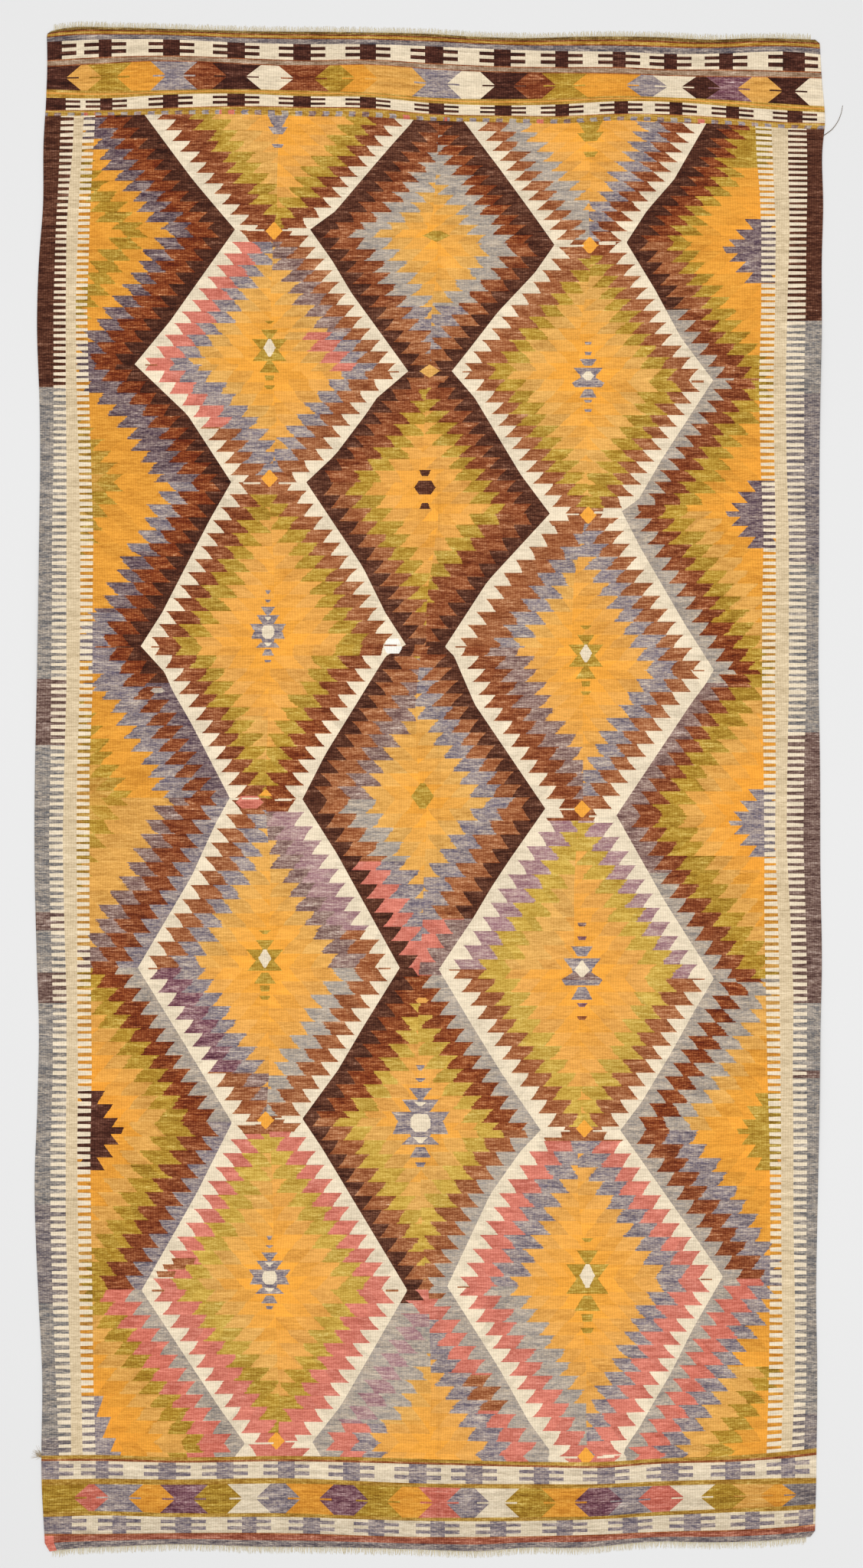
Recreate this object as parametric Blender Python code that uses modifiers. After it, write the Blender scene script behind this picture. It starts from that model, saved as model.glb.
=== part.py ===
"""A flat-woven kilim rug lying on a floor: the cloth, its two cut warp fringes and two loose yarn ends.

Metres, +Z up. The rug's length runs along Y, its upper end at +Y, and its underside is the plane Z = 0.
The origin is the middle of the whole part's underside.

The cloth is one open grid given its thickness by Solidify. A place on it is a pair of shares: `across`
runs 0 to 1 from the left selvedge to the right one, and `along` runs 0 to 1 from the lower hem to the
upper hem. The selvedges give X from `along`, and the hems give Y from `across`.
"""

import bmesh
import bpy
import numpy as np

# The cloth
CLOTH_THICKNESS = 0.003
COLUMNS_EACH_SIDE = 13  # grid columns on each side of the lengthwise crease
ROWS = 54
CORNER_RADIUS = 0.012
CORNER_SEGMENTS = 3

# Side edges. Columns: share along from the lower hem, left selvedge X, right selvedge X.
SELVEDGES = np.array(
    [
        (0.000, -0.832, 0.826),
        (0.045, -0.840, 0.829),
        (0.118, -0.839, 0.831),
        (0.168, -0.847, 0.829),
        (0.244, -0.855, 0.833),
        (0.295, -0.849, 0.836),
        (0.345, -0.846, 0.838),
        (0.385, -0.850, 0.841),
        (0.446, -0.855, 0.838),
        (0.521, -0.854, 0.837),
        (0.572, -0.850, 0.834),
        (0.647, -0.846, 0.835),
        (0.748, -0.844, 0.837),
        (0.811, -0.850, 0.841),
        (0.849, -0.846, 0.841),
        (0.886, -0.837, 0.844),
        (0.924, -0.836, 0.842),
        (0.950, -0.831, 0.848),
        (0.975, -0.828, 0.841),
        (1.000, -0.829, 0.836),
    ]
)
# Ends of the weave. Columns: share across from the left selvedge, lower hem Y, upper hem Y.
HEMS = np.array(
    [
        (0.00, -1.654, 1.622),
        (0.03, -1.648, 1.630),
        (0.09, -1.643, 1.630),
        (0.18, -1.638, 1.626),
        (0.27, -1.643, 1.622),
        (0.39, -1.645, 1.620),
        (0.50, -1.650, 1.616),
        (0.56, -1.653, 1.610),
        (0.63, -1.645, 1.607),
        (0.69, -1.646, 1.610),
        (0.80, -1.632, 1.609),
        (0.86, -1.634, 1.604),
        (0.93, -1.631, 1.607),
        (1.00, -1.622, 1.604),
    ]
)

# Where the cloth stands off the floor
CREASE_ACROSS = 0.512  # the lengthwise fold line left by storing the rug folded in half
CREASE_HALF_WIDTH = 0.030
CREASE_HEIGHT = 0.0022
CREASE_FADE = 0.12  # distance from a hem over which the crease grows to its full height
# Soft swells. Columns: centre X, centre Y, half-length in X, half-length in Y, height.
SWELLS = np.array(
    [
        (-0.44, 1.46, 0.24, 0.11, 0.0040),
        (0.40, 1.44, 0.28, 0.12, 0.0045),
        (-0.34, -1.47, 0.26, 0.11, 0.0035),
        (0.47, -1.44, 0.22, 0.12, 0.0040),
        (-0.85, 0.36, 0.13, 0.34, 0.0030),
        (0.84, -0.62, 0.13, 0.30, 0.0030),
        (0.84, 0.88, 0.12, 0.24, 0.0025),
    ]
)

# The warp ends, cut short at both hems
FRINGE_GAP = 0.0003  # between the hem and the strip that carries the locks
FRINGE_THICKNESS = 0.0014
STRIP_WIDTH = 0.0035
LOCKS = 146  # at each end
LOCK_ROOT_SHARE = 0.74  # of the pitch, at the strip
LOCK_TIP_SHARE = 0.50
UPPER_LOCK_LENGTH = 0.0095
LOWER_LOCK_LENGTH = 0.0125
LENGTH_VARIATION = 0.22
LOCK_LEAN = 0.0016
FRINGE_FROM, FRINGE_TO = 0.012, 0.984  # shares across the hem
LOCK_SEED = 7

# Loose yarn ends on the floor beside the selvedges
YARN_GAP = 0.0003
TAIL_THICKNESS = 0.0022
TAIL_ALONG = 0.9360  # where the tail leaves the right selvedge
TAIL_ROOT_WIDTH, TAIL_TIP_WIDTH = 0.0028, 0.0012
# Centreline of the tail from its root. Columns: X and Y from where it leaves the selvedge.
TAIL_ROUTE = np.array(
    [
        (0.000, 0.000),
        (0.009, 0.006),
        (0.018, 0.013),
        (0.026, 0.023),
        (0.033, 0.035),
        (0.038, 0.049),
        (0.041, 0.066),
    ]
)
TUFT_ALONG = 0.0625  # where the tuft leaves the left selvedge
TUFT_THICKNESS = 0.0014
TUFT_ROOT_HALF = 0.0035
TUFT_ROOT_LENGTH = 0.003
# The tuft's frayed ends. Columns: length, angle above the -X direction in degrees.
TUFT_ENDS = ((0.017, -12.0), (0.023, 12.0), (0.026, 38.0), (0.015, 64.0))
TUFT_END_WIDTH = 0.0022

# Material colours, as linear RGB
OCHRE = (0.62, 0.30, 0.06)
WARP_CREAM = (0.72, 0.62, 0.42)
TAIL_GREY = (0.22, 0.17, 0.13)
TUFT_TAN = (0.45, 0.32, 0.16)
WOOL_ROUGHNESS = 0.9

MILLIMETRE = 0.001


def smooth_between(table, column, at):
    """Reads a table's column at given shares by a Catmull-Rom curve through its rows."""
    at = np.asarray(at, float)
    shares, values = table[:, 0], table[:, column]
    slopes = np.gradient(values, shares)
    row = np.clip(np.searchsorted(shares, at, side="right") - 1, 0, len(shares) - 2)
    step = shares[row + 1] - shares[row]
    t = (at - shares[row]) / step
    start = values[row] * (2 * t**3 - 3 * t**2 + 1) + values[row + 1] * (3 * t**2 - 2 * t**3)
    return start + step * (slopes[row] * (t**3 - 2 * t**2 + t) + slopes[row + 1] * (t**3 - t**2))


def place(across, along):
    """X and Y of the cloth at a share across and a share along."""
    left = smooth_between(SELVEDGES, 1, along)
    right = smooth_between(SELVEDGES, 2, along)
    lower = smooth_between(HEMS, 1, across)
    upper = smooth_between(HEMS, 2, across)
    return left + (right - left) * across, lower + (upper - lower) * along


def lift(x, y, across, along):
    """Height of the cloth's underside over the floor: the crease and the soft swells, zero elsewhere."""
    width = SELVEDGES[0, 2] - SELVEDGES[0, 1]
    length = HEMS[0, 2] - HEMS[0, 1]
    from_crease = np.abs(across - CREASE_ACROSS) * width / CREASE_HALF_WIDTH
    from_hem = np.minimum(along, 1 - along) * length / CREASE_FADE
    height = CREASE_HEIGHT * np.clip(1 - from_crease, 0, 1) * np.clip(from_hem, 0, 1)
    for centre_x, centre_y, half_x, half_y, top in SWELLS:
        reach = ((x - centre_x) / half_x) ** 2 + ((y - centre_y) / half_y) ** 2
        height = height + top * np.clip(1 - reach, 0, 1) ** 2
    return height


def selvedge_x(side, y):
    """X of the built side edge (0 left, 1 right) at a height Y along the rug."""
    edge_x, edge_y = place(float(side), np.linspace(0, 1, ROWS + 1))
    return np.interp(y, edge_y, edge_x)


def crease_columns():
    """Shares across of the grid's columns, with one on the crease and one at each foot of it."""
    foot = CREASE_HALF_WIDTH / (SELVEDGES[0, 2] - SELVEDGES[0, 1])
    left = np.linspace(0, CREASE_ACROSS - foot, COLUMNS_EACH_SIDE)
    right = np.linspace(CREASE_ACROSS + foot, 1, COLUMNS_EACH_SIDE)
    return np.concatenate([left, [CREASE_ACROSS], right])


def wool(name, colour):
    """A matt wool material."""
    material = bpy.data.materials.new(name)
    material.use_nodes = True
    shader = material.node_tree.nodes["Principled BSDF"]
    shader.inputs["Base Color"].default_value = (*colour, 1)
    shader.inputs["Roughness"].default_value = WOOL_ROUGHNESS
    shader.inputs["Metallic"].default_value = 0
    return material


def add_object(name, data, colour, collection):
    """Links an object with its own wool material."""
    made = bpy.data.objects.new(name, data)
    data.materials.append(wool(name + "_wool", colour))
    collection.objects.link(made)
    return made


def make_cloth(collection):
    """The woven cloth: a grid on the measured outline, lifted along the crease and swells."""
    columns = crease_columns()
    last_column, last_row = len(columns) - 1, ROWS
    mesh = bpy.data.meshes.new("kilim")
    build = bmesh.new()
    bmesh.ops.create_grid(build, x_segments=last_column, y_segments=last_row, size=0.5)
    for vertex in build.verts:
        across = columns[round((vertex.co.x + 0.5) * last_column)]
        along = vertex.co.y + 0.5
        x, y = place(across, along)
        vertex.co = (x, y, lift(x, y, across, along))
    corners = [vertex for vertex in build.verts if len(vertex.link_edges) == 2]
    bmesh.ops.bevel(
        build, geom=corners, offset=CORNER_RADIUS, segments=CORNER_SEGMENTS, profile=0.5, affect="VERTICES"
    )
    build.to_mesh(mesh)
    build.free()
    cloth = add_object("kilim", mesh, OCHRE, collection)
    solidify = cloth.modifiers.new("thickness", "SOLIDIFY")
    solidify.thickness = CLOTH_THICKNESS
    solidify.offset = 1
    return cloth


def flat_piece(name, outline, thickness, colour, collection):
    """A flat outline given a thickness, lying on the floor."""
    curve = bpy.data.curves.new(name, "CURVE")
    curve.dimensions = "2D"
    curve.fill_mode = "BOTH"
    curve.extrude = thickness / 2
    spline = curve.splines.new("POLY")
    spline.points.add(len(outline) - 1)
    for point, (x, y) in zip(spline.points, outline):
        point.co = (x, y, 0, 1)
    spline.use_cyclic_u = True
    made = add_object(name, curve, colour, collection)
    made.location.z = thickness / 2
    return made


def make_fringe(name, hem, lock_length, collection):
    """Cut warp ends at one hem (0 lower, 1 upper): a narrow strip along the hem, with locks on it."""
    outwards = 1 if hem else -1
    rng = np.random.default_rng(LOCK_SEED + hem)
    columns = crease_columns()
    between = columns[(columns > FRINGE_FROM) & (columns < FRINGE_TO)]
    inner = np.concatenate([[FRINGE_FROM], between, [FRINGE_TO]])
    hem_x, hem_y = place(columns, np.full(len(columns), float(hem)))
    inner_x = place(inner, np.full(len(inner), float(hem)))[0]
    outline = [(x, np.interp(x, hem_x, hem_y) + outwards * FRINGE_GAP) for x in inner_x]

    pitch = (inner_x[-1] - inner_x[0]) / LOCKS
    root, tip = pitch * LOCK_ROOT_SHARE / 2, pitch * LOCK_TIP_SHARE / 2
    for lock in reversed(range(LOCKS)):
        middle = inner_x[0] + (lock + 0.5) * pitch
        length = lock_length * (1 + LENGTH_VARIATION * rng.uniform(-1, 1))
        lean = LOCK_LEAN * rng.uniform(-1, 1)
        line = [(root, 0), (lean + tip, length), (lean - tip, length), (-root, 0)]
        for along_hem, out in line:
            strip_y = np.interp(middle + along_hem, hem_x, hem_y) + outwards * (FRINGE_GAP + STRIP_WIDTH)
            outline.append((middle + along_hem, strip_y + outwards * out))
    return flat_piece(name, outline, FRINGE_THICKNESS, WARP_CREAM, collection)


def make_yarn_tail(collection):
    """The loose weft end at the right selvedge: a band along its route, narrower at the tip."""
    y = place(1.0, TAIL_ALONG)[1]
    line = TAIL_ROUTE + (selvedge_x(1, y) + YARN_GAP, y)
    tangent = np.gradient(line, axis=0)
    tangent /= np.linalg.norm(tangent, axis=1, keepdims=True)
    tangent[0] = (1, 0)
    normal = np.stack([-tangent[:, 1], tangent[:, 0]], axis=1)
    half = np.linspace(TAIL_ROOT_WIDTH, TAIL_TIP_WIDTH, len(line))[:, None] / 2
    outline = np.concatenate([line + normal * half, (line - normal * half)[::-1]])
    outline[[0, -1], 0] = selvedge_x(1, outline[[0, -1], 1]) + YARN_GAP
    return flat_piece("yarn_tail", outline, TAIL_THICKNESS, TAIL_GREY, collection)


def make_yarn_tuft(collection):
    """The frayed weft end at the left selvedge: a short root that spreads into a few ends."""
    y = place(0.0, TUFT_ALONG)[1]
    outline = [(selvedge_x(0, end) - YARN_GAP, end) for end in (y + TUFT_ROOT_HALF, y - TUFT_ROOT_HALF)]
    heart = np.array([selvedge_x(0, y) - YARN_GAP - TUFT_ROOT_LENGTH, y])
    spread = np.linspace(-1, 1, len(TUFT_ENDS)) * (TUFT_ROOT_HALF - TUFT_END_WIDTH / 2)
    for offset, (length, angle) in zip(spread, TUFT_ENDS):
        angle = np.radians(angle)
        way = np.array([-np.cos(angle), np.sin(angle)])
        side = np.array([-way[1], way[0]]) * TUFT_END_WIDTH / 2
        start, root_half = heart + (0, offset), (0, TUFT_END_WIDTH / 3)
        outline += [start - root_half, start + way * length + side / 2]
        outline += [start + way * length - side / 2, start + root_half]
    return flat_piece("yarn_tuft", outline, TUFT_THICKNESS, TUFT_TAN, collection)


def centre_on_floor(pieces):
    """Moves every piece so that the origin is the middle of the whole part's underside."""
    bpy.context.view_layer.update()
    graph = bpy.context.evaluated_depsgraph_get()
    points = []
    for piece in pieces:
        shown = piece.evaluated_get(graph)
        mesh = shown.to_mesh()
        points += [piece.matrix_world @ vertex.co for vertex in mesh.vertices]
        shown.to_mesh_clear()
    points = np.array(points)
    middle = (points.min(0) + points.max(0)) / 2
    for piece in pieces:
        piece.location.x -= middle[0]
        piece.location.y -= middle[1]
    print("origin moved by", np.round(middle[:2] / MILLIMETRE, 2), "mm")


def main():
    for old in list(bpy.data.objects):
        bpy.data.objects.remove(old)
    collection = bpy.data.collections.new("kilim_rug")
    bpy.context.scene.collection.children.link(collection)
    pieces = [
        make_cloth(collection),
        make_fringe("fringe_lower", 0, LOWER_LOCK_LENGTH, collection),
        make_fringe("fringe_upper", 1, UPPER_LOCK_LENGTH, collection),
        make_yarn_tail(collection),
        make_yarn_tuft(collection),
    ]
    centre_on_floor(pieces)


main()
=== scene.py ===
import math

import bpy
import numpy as np
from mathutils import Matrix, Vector


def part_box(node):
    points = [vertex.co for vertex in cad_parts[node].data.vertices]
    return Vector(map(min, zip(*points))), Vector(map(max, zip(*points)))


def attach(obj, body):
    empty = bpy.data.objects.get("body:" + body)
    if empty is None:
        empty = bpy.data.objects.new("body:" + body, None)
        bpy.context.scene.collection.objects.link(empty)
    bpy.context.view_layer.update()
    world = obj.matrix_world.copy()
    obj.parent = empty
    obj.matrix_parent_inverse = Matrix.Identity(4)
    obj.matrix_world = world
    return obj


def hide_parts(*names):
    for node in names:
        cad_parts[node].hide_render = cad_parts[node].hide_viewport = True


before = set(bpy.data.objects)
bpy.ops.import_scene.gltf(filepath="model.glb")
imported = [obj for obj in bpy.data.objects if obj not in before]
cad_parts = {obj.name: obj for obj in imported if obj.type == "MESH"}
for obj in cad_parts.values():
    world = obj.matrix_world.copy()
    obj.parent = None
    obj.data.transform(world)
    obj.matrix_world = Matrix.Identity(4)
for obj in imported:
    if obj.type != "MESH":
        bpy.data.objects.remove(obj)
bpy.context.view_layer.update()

bl_info = {
    "name": "Flat-woven kilim rug",
    "version": (1, 0, 0),
    "blender": (4, 5, 0),
    "location": "3D View > Sidebar > Kilim",
    "description": "A kilim with stepped diamonds, its cut warp ends and its loose weft ends, on a pale floor",
    "category": "Object",
}

# The pattern's chart is drawn in the photograph's pixels: u to the right, v downwards.
CHART = 0.00165  # metres to one unit of the chart
CHART_MIDDLE_U, CHART_MIDDLE_V = 563.5, 1024.0
CHART_SCALE = 1000.0  # chart units to one unit of the weave's UV map
PHOTO_HEIGHT = 2048  # pixels down the photograph, which the camera's view spans

# The cloth's outline, as in the part. Columns: share along from the lower hem, left X, right X.
SELVEDGES = np.array(
    [
        (0.000, -0.832, 0.826),
        (0.045, -0.840, 0.829),
        (0.118, -0.839, 0.831),
        (0.168, -0.847, 0.829),
        (0.244, -0.855, 0.833),
        (0.295, -0.849, 0.836),
        (0.345, -0.846, 0.838),
        (0.385, -0.850, 0.841),
        (0.446, -0.855, 0.838),
        (0.521, -0.854, 0.837),
        (0.572, -0.850, 0.834),
        (0.647, -0.846, 0.835),
        (0.748, -0.844, 0.837),
        (0.811, -0.850, 0.841),
        (0.849, -0.846, 0.841),
        (0.886, -0.837, 0.844),
        (0.924, -0.836, 0.842),
        (0.950, -0.831, 0.848),
        (0.975, -0.828, 0.841),
        (1.000, -0.829, 0.836),
    ]
)
# Columns: share across from the left selvedge, lower hem Y, upper hem Y.
HEMS = np.array(
    [
        (0.00, -1.654, 1.622),
        (0.03, -1.648, 1.630),
        (0.09, -1.643, 1.630),
        (0.18, -1.638, 1.626),
        (0.27, -1.643, 1.622),
        (0.39, -1.645, 1.620),
        (0.50, -1.650, 1.616),
        (0.56, -1.653, 1.610),
        (0.63, -1.645, 1.607),
        (0.69, -1.646, 1.610),
        (0.80, -1.632, 1.609),
        (0.86, -1.634, 1.604),
        (0.93, -1.631, 1.607),
        (1.00, -1.622, 1.604),
    ]
)
CORNER_RADIUS = 0.012
CREASE_ACROSS = 0.512
CREASE_HALF_WIDTH = 0.030
CREASE_HEIGHT = 0.0022
CREASE_FADE = 0.12
RIM_INSET = 0.0012  # how far the rim's half-round edge reaches past the flat of the cloth
RIM_ANGLES = (60, 30, 0, -30, -60)  # degrees over the level, of the rim's points from the top down
CORNER_PULL = 24  # the power of the distance from the middle by which a rounded corner narrows a row
OUTLINE_ROWS, OUTLINE_COLUMNS = 55, 400  # how many shares the outline's reach is measured at
# Columns: centre X, centre Y, half-length in X, half-length in Y, height.
SWELLS = np.array(
    [
        (-0.44, 1.46, 0.24, 0.11, 0.0040),
        (0.40, 1.44, 0.28, 0.12, 0.0045),
        (-0.34, -1.47, 0.26, 0.11, 0.0035),
        (0.47, -1.44, 0.22, 0.12, 0.0040),
        (-0.85, 0.36, 0.13, 0.34, 0.0030),
        (0.84, -0.62, 0.13, 0.30, 0.0030),
        (0.84, 0.88, 0.12, 0.24, 0.0025),
    ]
)

# The end bands. Each line of the bands has a straightened v, its level, and its true v at some u.
UPPER_LEVELS = (44, 60, 82, 90, 123, 131, 147, 158)
# Columns: u, then v of: comb's top and foot, hexagons' top and foot, second comb's top and foot, field's top.
UPPER_LINES = np.array(
    [
        (61, 55, 79, 88, 117, 128, 144, 152),
        (130, 52, 75, 84, 119, 129, 144, 151),
        (225, 52, 73, 80, 118, 124, 141, 150),
        (310, 56, 76, 84, 117, 123, 139, 150),
        (395, 58, 79, 87, 119, 126, 140, 152),
        (480, 58, 78, 85, 121, 127, 141, 153),
        (565, 61, 83, 91, 128, 135, 149, 158),
        (655, 65, 87, 95, 130, 138, 151, 160),
        (730, 67, 88, 96, 129, 137, 152, 162),
        (808, 68, 88, 97, 126, 133, 149, 158),
        (880, 71, 91, 100, 128, 134, 150, 160),
        (950, 70, 91, 101, 131, 139, 154, 163),
        (1035, 68, 93, 102, 137, 145, 160, 168),
        (1076, 72, 94, 103, 139, 147, 161, 169),
    ],
    float,
)
LOWER_LEVELS = (1903, 1911, 1934, 1939, 1976, 1981, 2004, 2021)
# Columns: u, then v of: field's foot, comb's top and foot, hexagons' top and foot, second comb's top and foot.
LOWER_LINES = np.array(
    [
        (57, 1901, 1908, 1932, 1940, 1975, 1981, 2003),
        (135, 1900, 1908, 1931, 1938, 1973, 1979, 2003),
        (220, 1903, 1910, 1932, 1939, 1976, 1981, 2002),
        (370, 1901, 1908, 1930, 1937, 1976, 1981, 2002),
        (545, 1905, 1912, 1937, 1942, 1982, 1986, 2007),
        (700, 1909, 1916, 1938, 1944, 1981, 1986, 2006),
        (780, 1909, 1917, 1938, 1943, 1980, 1984, 2004),
        (865, 1904, 1911, 1934, 1940, 1974, 1979, 2000),
        (955, 1901, 1909, 1932, 1938, 1970, 1975, 1998),
        (1040, 1894, 1903, 1930, 1938, 1966, 1972, 1993),
        (1067, 1891, 1900, 1930, 1937, 1964, 1970, 1990),
    ],
    float,
)
FIELD_TOP, FIELD_FOOT = UPPER_LEVELS[-1], LOWER_LEVELS[0]
WAVE_FADE = 150.0  # chart units over which the field's rows straighten out
NEAR_FIELD, PAST_FIELD = 10, 8  # how near the field a point counts as its own, and how far past it may end

# The side borders. Columns: v, left u of comb, plain stripe, inner comb and field, right u of field's end,
# plain stripe, outer comb and guard.
SIDES = np.array(
    [
        (152, 80, 97, 110, 125, 986, 1007, 1029, 1053),
        (200, 78, 95, 107, 122, 988, 1009, 1029, 1054),
        (250, 76, 90, 104, 119, 992, 1011, 1030, 1054),
        (300, 73, 87, 102, 117, 994, 1013, 1031, 1053),
        (400, 70, 86, 99, 114, 994, 1012, 1028, 1052),
        (500, 70, 86, 100, 116, 991, 1010, 1026, 1050),
        (600, 70, 87, 103, 119, 993, 1011, 1027, 1050),
        (700, 68, 87, 105, 122, 997, 1013, 1030, 1052),
        (800, 68, 87, 105, 121, 995, 1013, 1030, 1053),
        (900, 67, 87, 104, 121, 995, 1012, 1030, 1053),
        (1000, 66, 84, 101, 117, 997, 1013, 1028, 1050),
        (1100, 64, 82, 100, 117, 998, 1012, 1027, 1049),
        (1200, 66, 84, 101, 117, 998, 1016, 1032, 1052),
        (1300, 69, 87, 101, 119, 1000, 1018, 1036, 1054),
        (1400, 69, 87, 102, 120, 1002, 1019, 1035, 1053),
        (1500, 66, 86, 101, 118, 1005, 1020, 1036, 1054),
        (1600, 66, 86, 102, 119, 1006, 1020, 1036, 1053),
        (1700, 69, 89, 104, 121, 1005, 1021, 1038, 1053),
        (1800, 73, 92, 106, 122, 1004, 1023, 1038, 1053),
        (1900, 77, 93, 108, 125, 1001, 1020, 1034, 1050),
    ],
    float,
)
# Guard stripes. Each row: the v where a yarn begins, and the yarn.
GUARD_LEFT = ((0, "d"), (505, "s"), (887, "w"), (977, "s"), (1195, "w"), (1213, "s"), (1272, "w"), (1308, "s"),
              (1570, "x"), (1700, "s"), (1880, "x"))
GUARD_RIGHT = ((0, "d"), (419, "s"), (515, "x"), (735, "s"), (955, "w"), (1308, "s"), (1397, "w"), (1405, "s"),
               (1850, "x"))
TOOTH_PITCH_TOP, TOOTH_PITCH_FOOT = 7.8, 10.6  # of the side combs

# The four zigzags between the columns of diamonds: (u, v) points going down.
ZIGZAGS = {
    "A left": (
        (187, 150), (252, 235), (307, 300), (222, 420), (176, 476), (245, 542), (302, 630), (274, 679),
        (234, 757), (212, 800), (184, 844), (215, 878), (226, 903), (250, 945), (300, 1042), (281, 1077),
        (250, 1145), (180, 1264), (236, 1355), (303, 1466), (256, 1560), (185, 1685), (247, 1779),
        (287, 1839), (320, 1885), (306, 1903),
    ),
    "A right": (
        (540, 158), (487, 218), (438, 276), (405, 300), (434, 341), (459, 383), (486, 420), (533, 485),
        (492, 520), (478, 541), (438, 594), (400, 630), (474, 741), (503, 800), (530, 842), (504, 857),
        (489, 881), (425, 985), (395, 1044), (440, 1115), (522, 1264), (475, 1340), (441, 1398),
        (395, 1461), (421, 1500), (532, 1685), (445, 1836), (408, 1883), (420, 1903),
    ),
    "C left": (
        (605, 158), (652, 220), (690, 272), (724, 320), (698, 357), (650, 408), (613, 456), (590, 485),
        (620, 520), (680, 620), (718, 671), (637, 759), (581, 845), (593, 857), (620, 920), (712, 1056),
        (666, 1122), (641, 1160), (618, 1199), (573, 1266), (617, 1340), (654, 1400), (706, 1476),
        (680, 1503), (640, 1560), (584, 1680), (654, 1791), (690, 1856), (719, 1896), (716, 1903),
    ),
    "C right": (
        (923, 160), (880, 235), (845, 275), (818, 317), (855, 378), (889, 441), (931, 497), (866, 597),
        (834, 652), (812, 668), (836, 715), (894, 815), (932, 875), (921, 894), (903, 918), (805, 1065),
        (868, 1177), (932, 1278), (908, 1318), (874, 1379), (838, 1439), (810, 1476), (883, 1580),
        (944, 1667), (906, 1733), (875, 1795), (836, 1862), (813, 1896), (818, 1903),
    ),
}
# The v at which each zigzag turns, from the top: at a wide corner of the A and C diamonds, then at a neck,
# and so on.
TURNS = {
    "A left": (155, 300, 476, 630, 844, 1042, 1264, 1466, 1685, 1885, 2060),
    "A right": (155, 300, 485, 630, 842, 1044, 1264, 1461, 1685, 1883, 2060),
    "C left": (150, 320, 485, 671, 845, 1056, 1266, 1476, 1680, 1896, 2060),
    "C right": (150, 317, 497, 668, 875, 1065, 1278, 1476, 1670, 1896, 2060),
}

# Yarns by letter, with the dye each is named by in the settings.
YARNS = {
    "i": "ivory", "d": "dark_brown", "r": "red_brown", "n": "brown", "o": "orange", "y": "ochre", "g": "green",
    "b": "blue_grey", "v": "violet_blue", "m": "mauve_grey", "k": "pink", "p": "purple", "l": "pale_grey",
    "z": "bright_orange", "c": "cream", "s": "guard_grey", "w": "guard_mauve", "x": "guard_violet",
    "q": "straw", "u": "rust", "t": "fawn", "e": "olive_brown", "j": "lilac", "h": "chestnut",
    "a": "white_cotton", "f": "light_green", "M": "marigold", "D": "deep_brown",
}
WOVEN_SHARES = (0.0, 0.15, 0.3, 0.45)  # of a course that a diamond's middle row may begin with
# How high a course of teeth was woven in each stretch between two turns, from the top, in metres.
COURSE_HEIGHTS = (0.0215, 0.0250, 0.0250, 0.0280, 0.0280, 0.0305, 0.0290, 0.0300, 0.0285, 0.0285)
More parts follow.
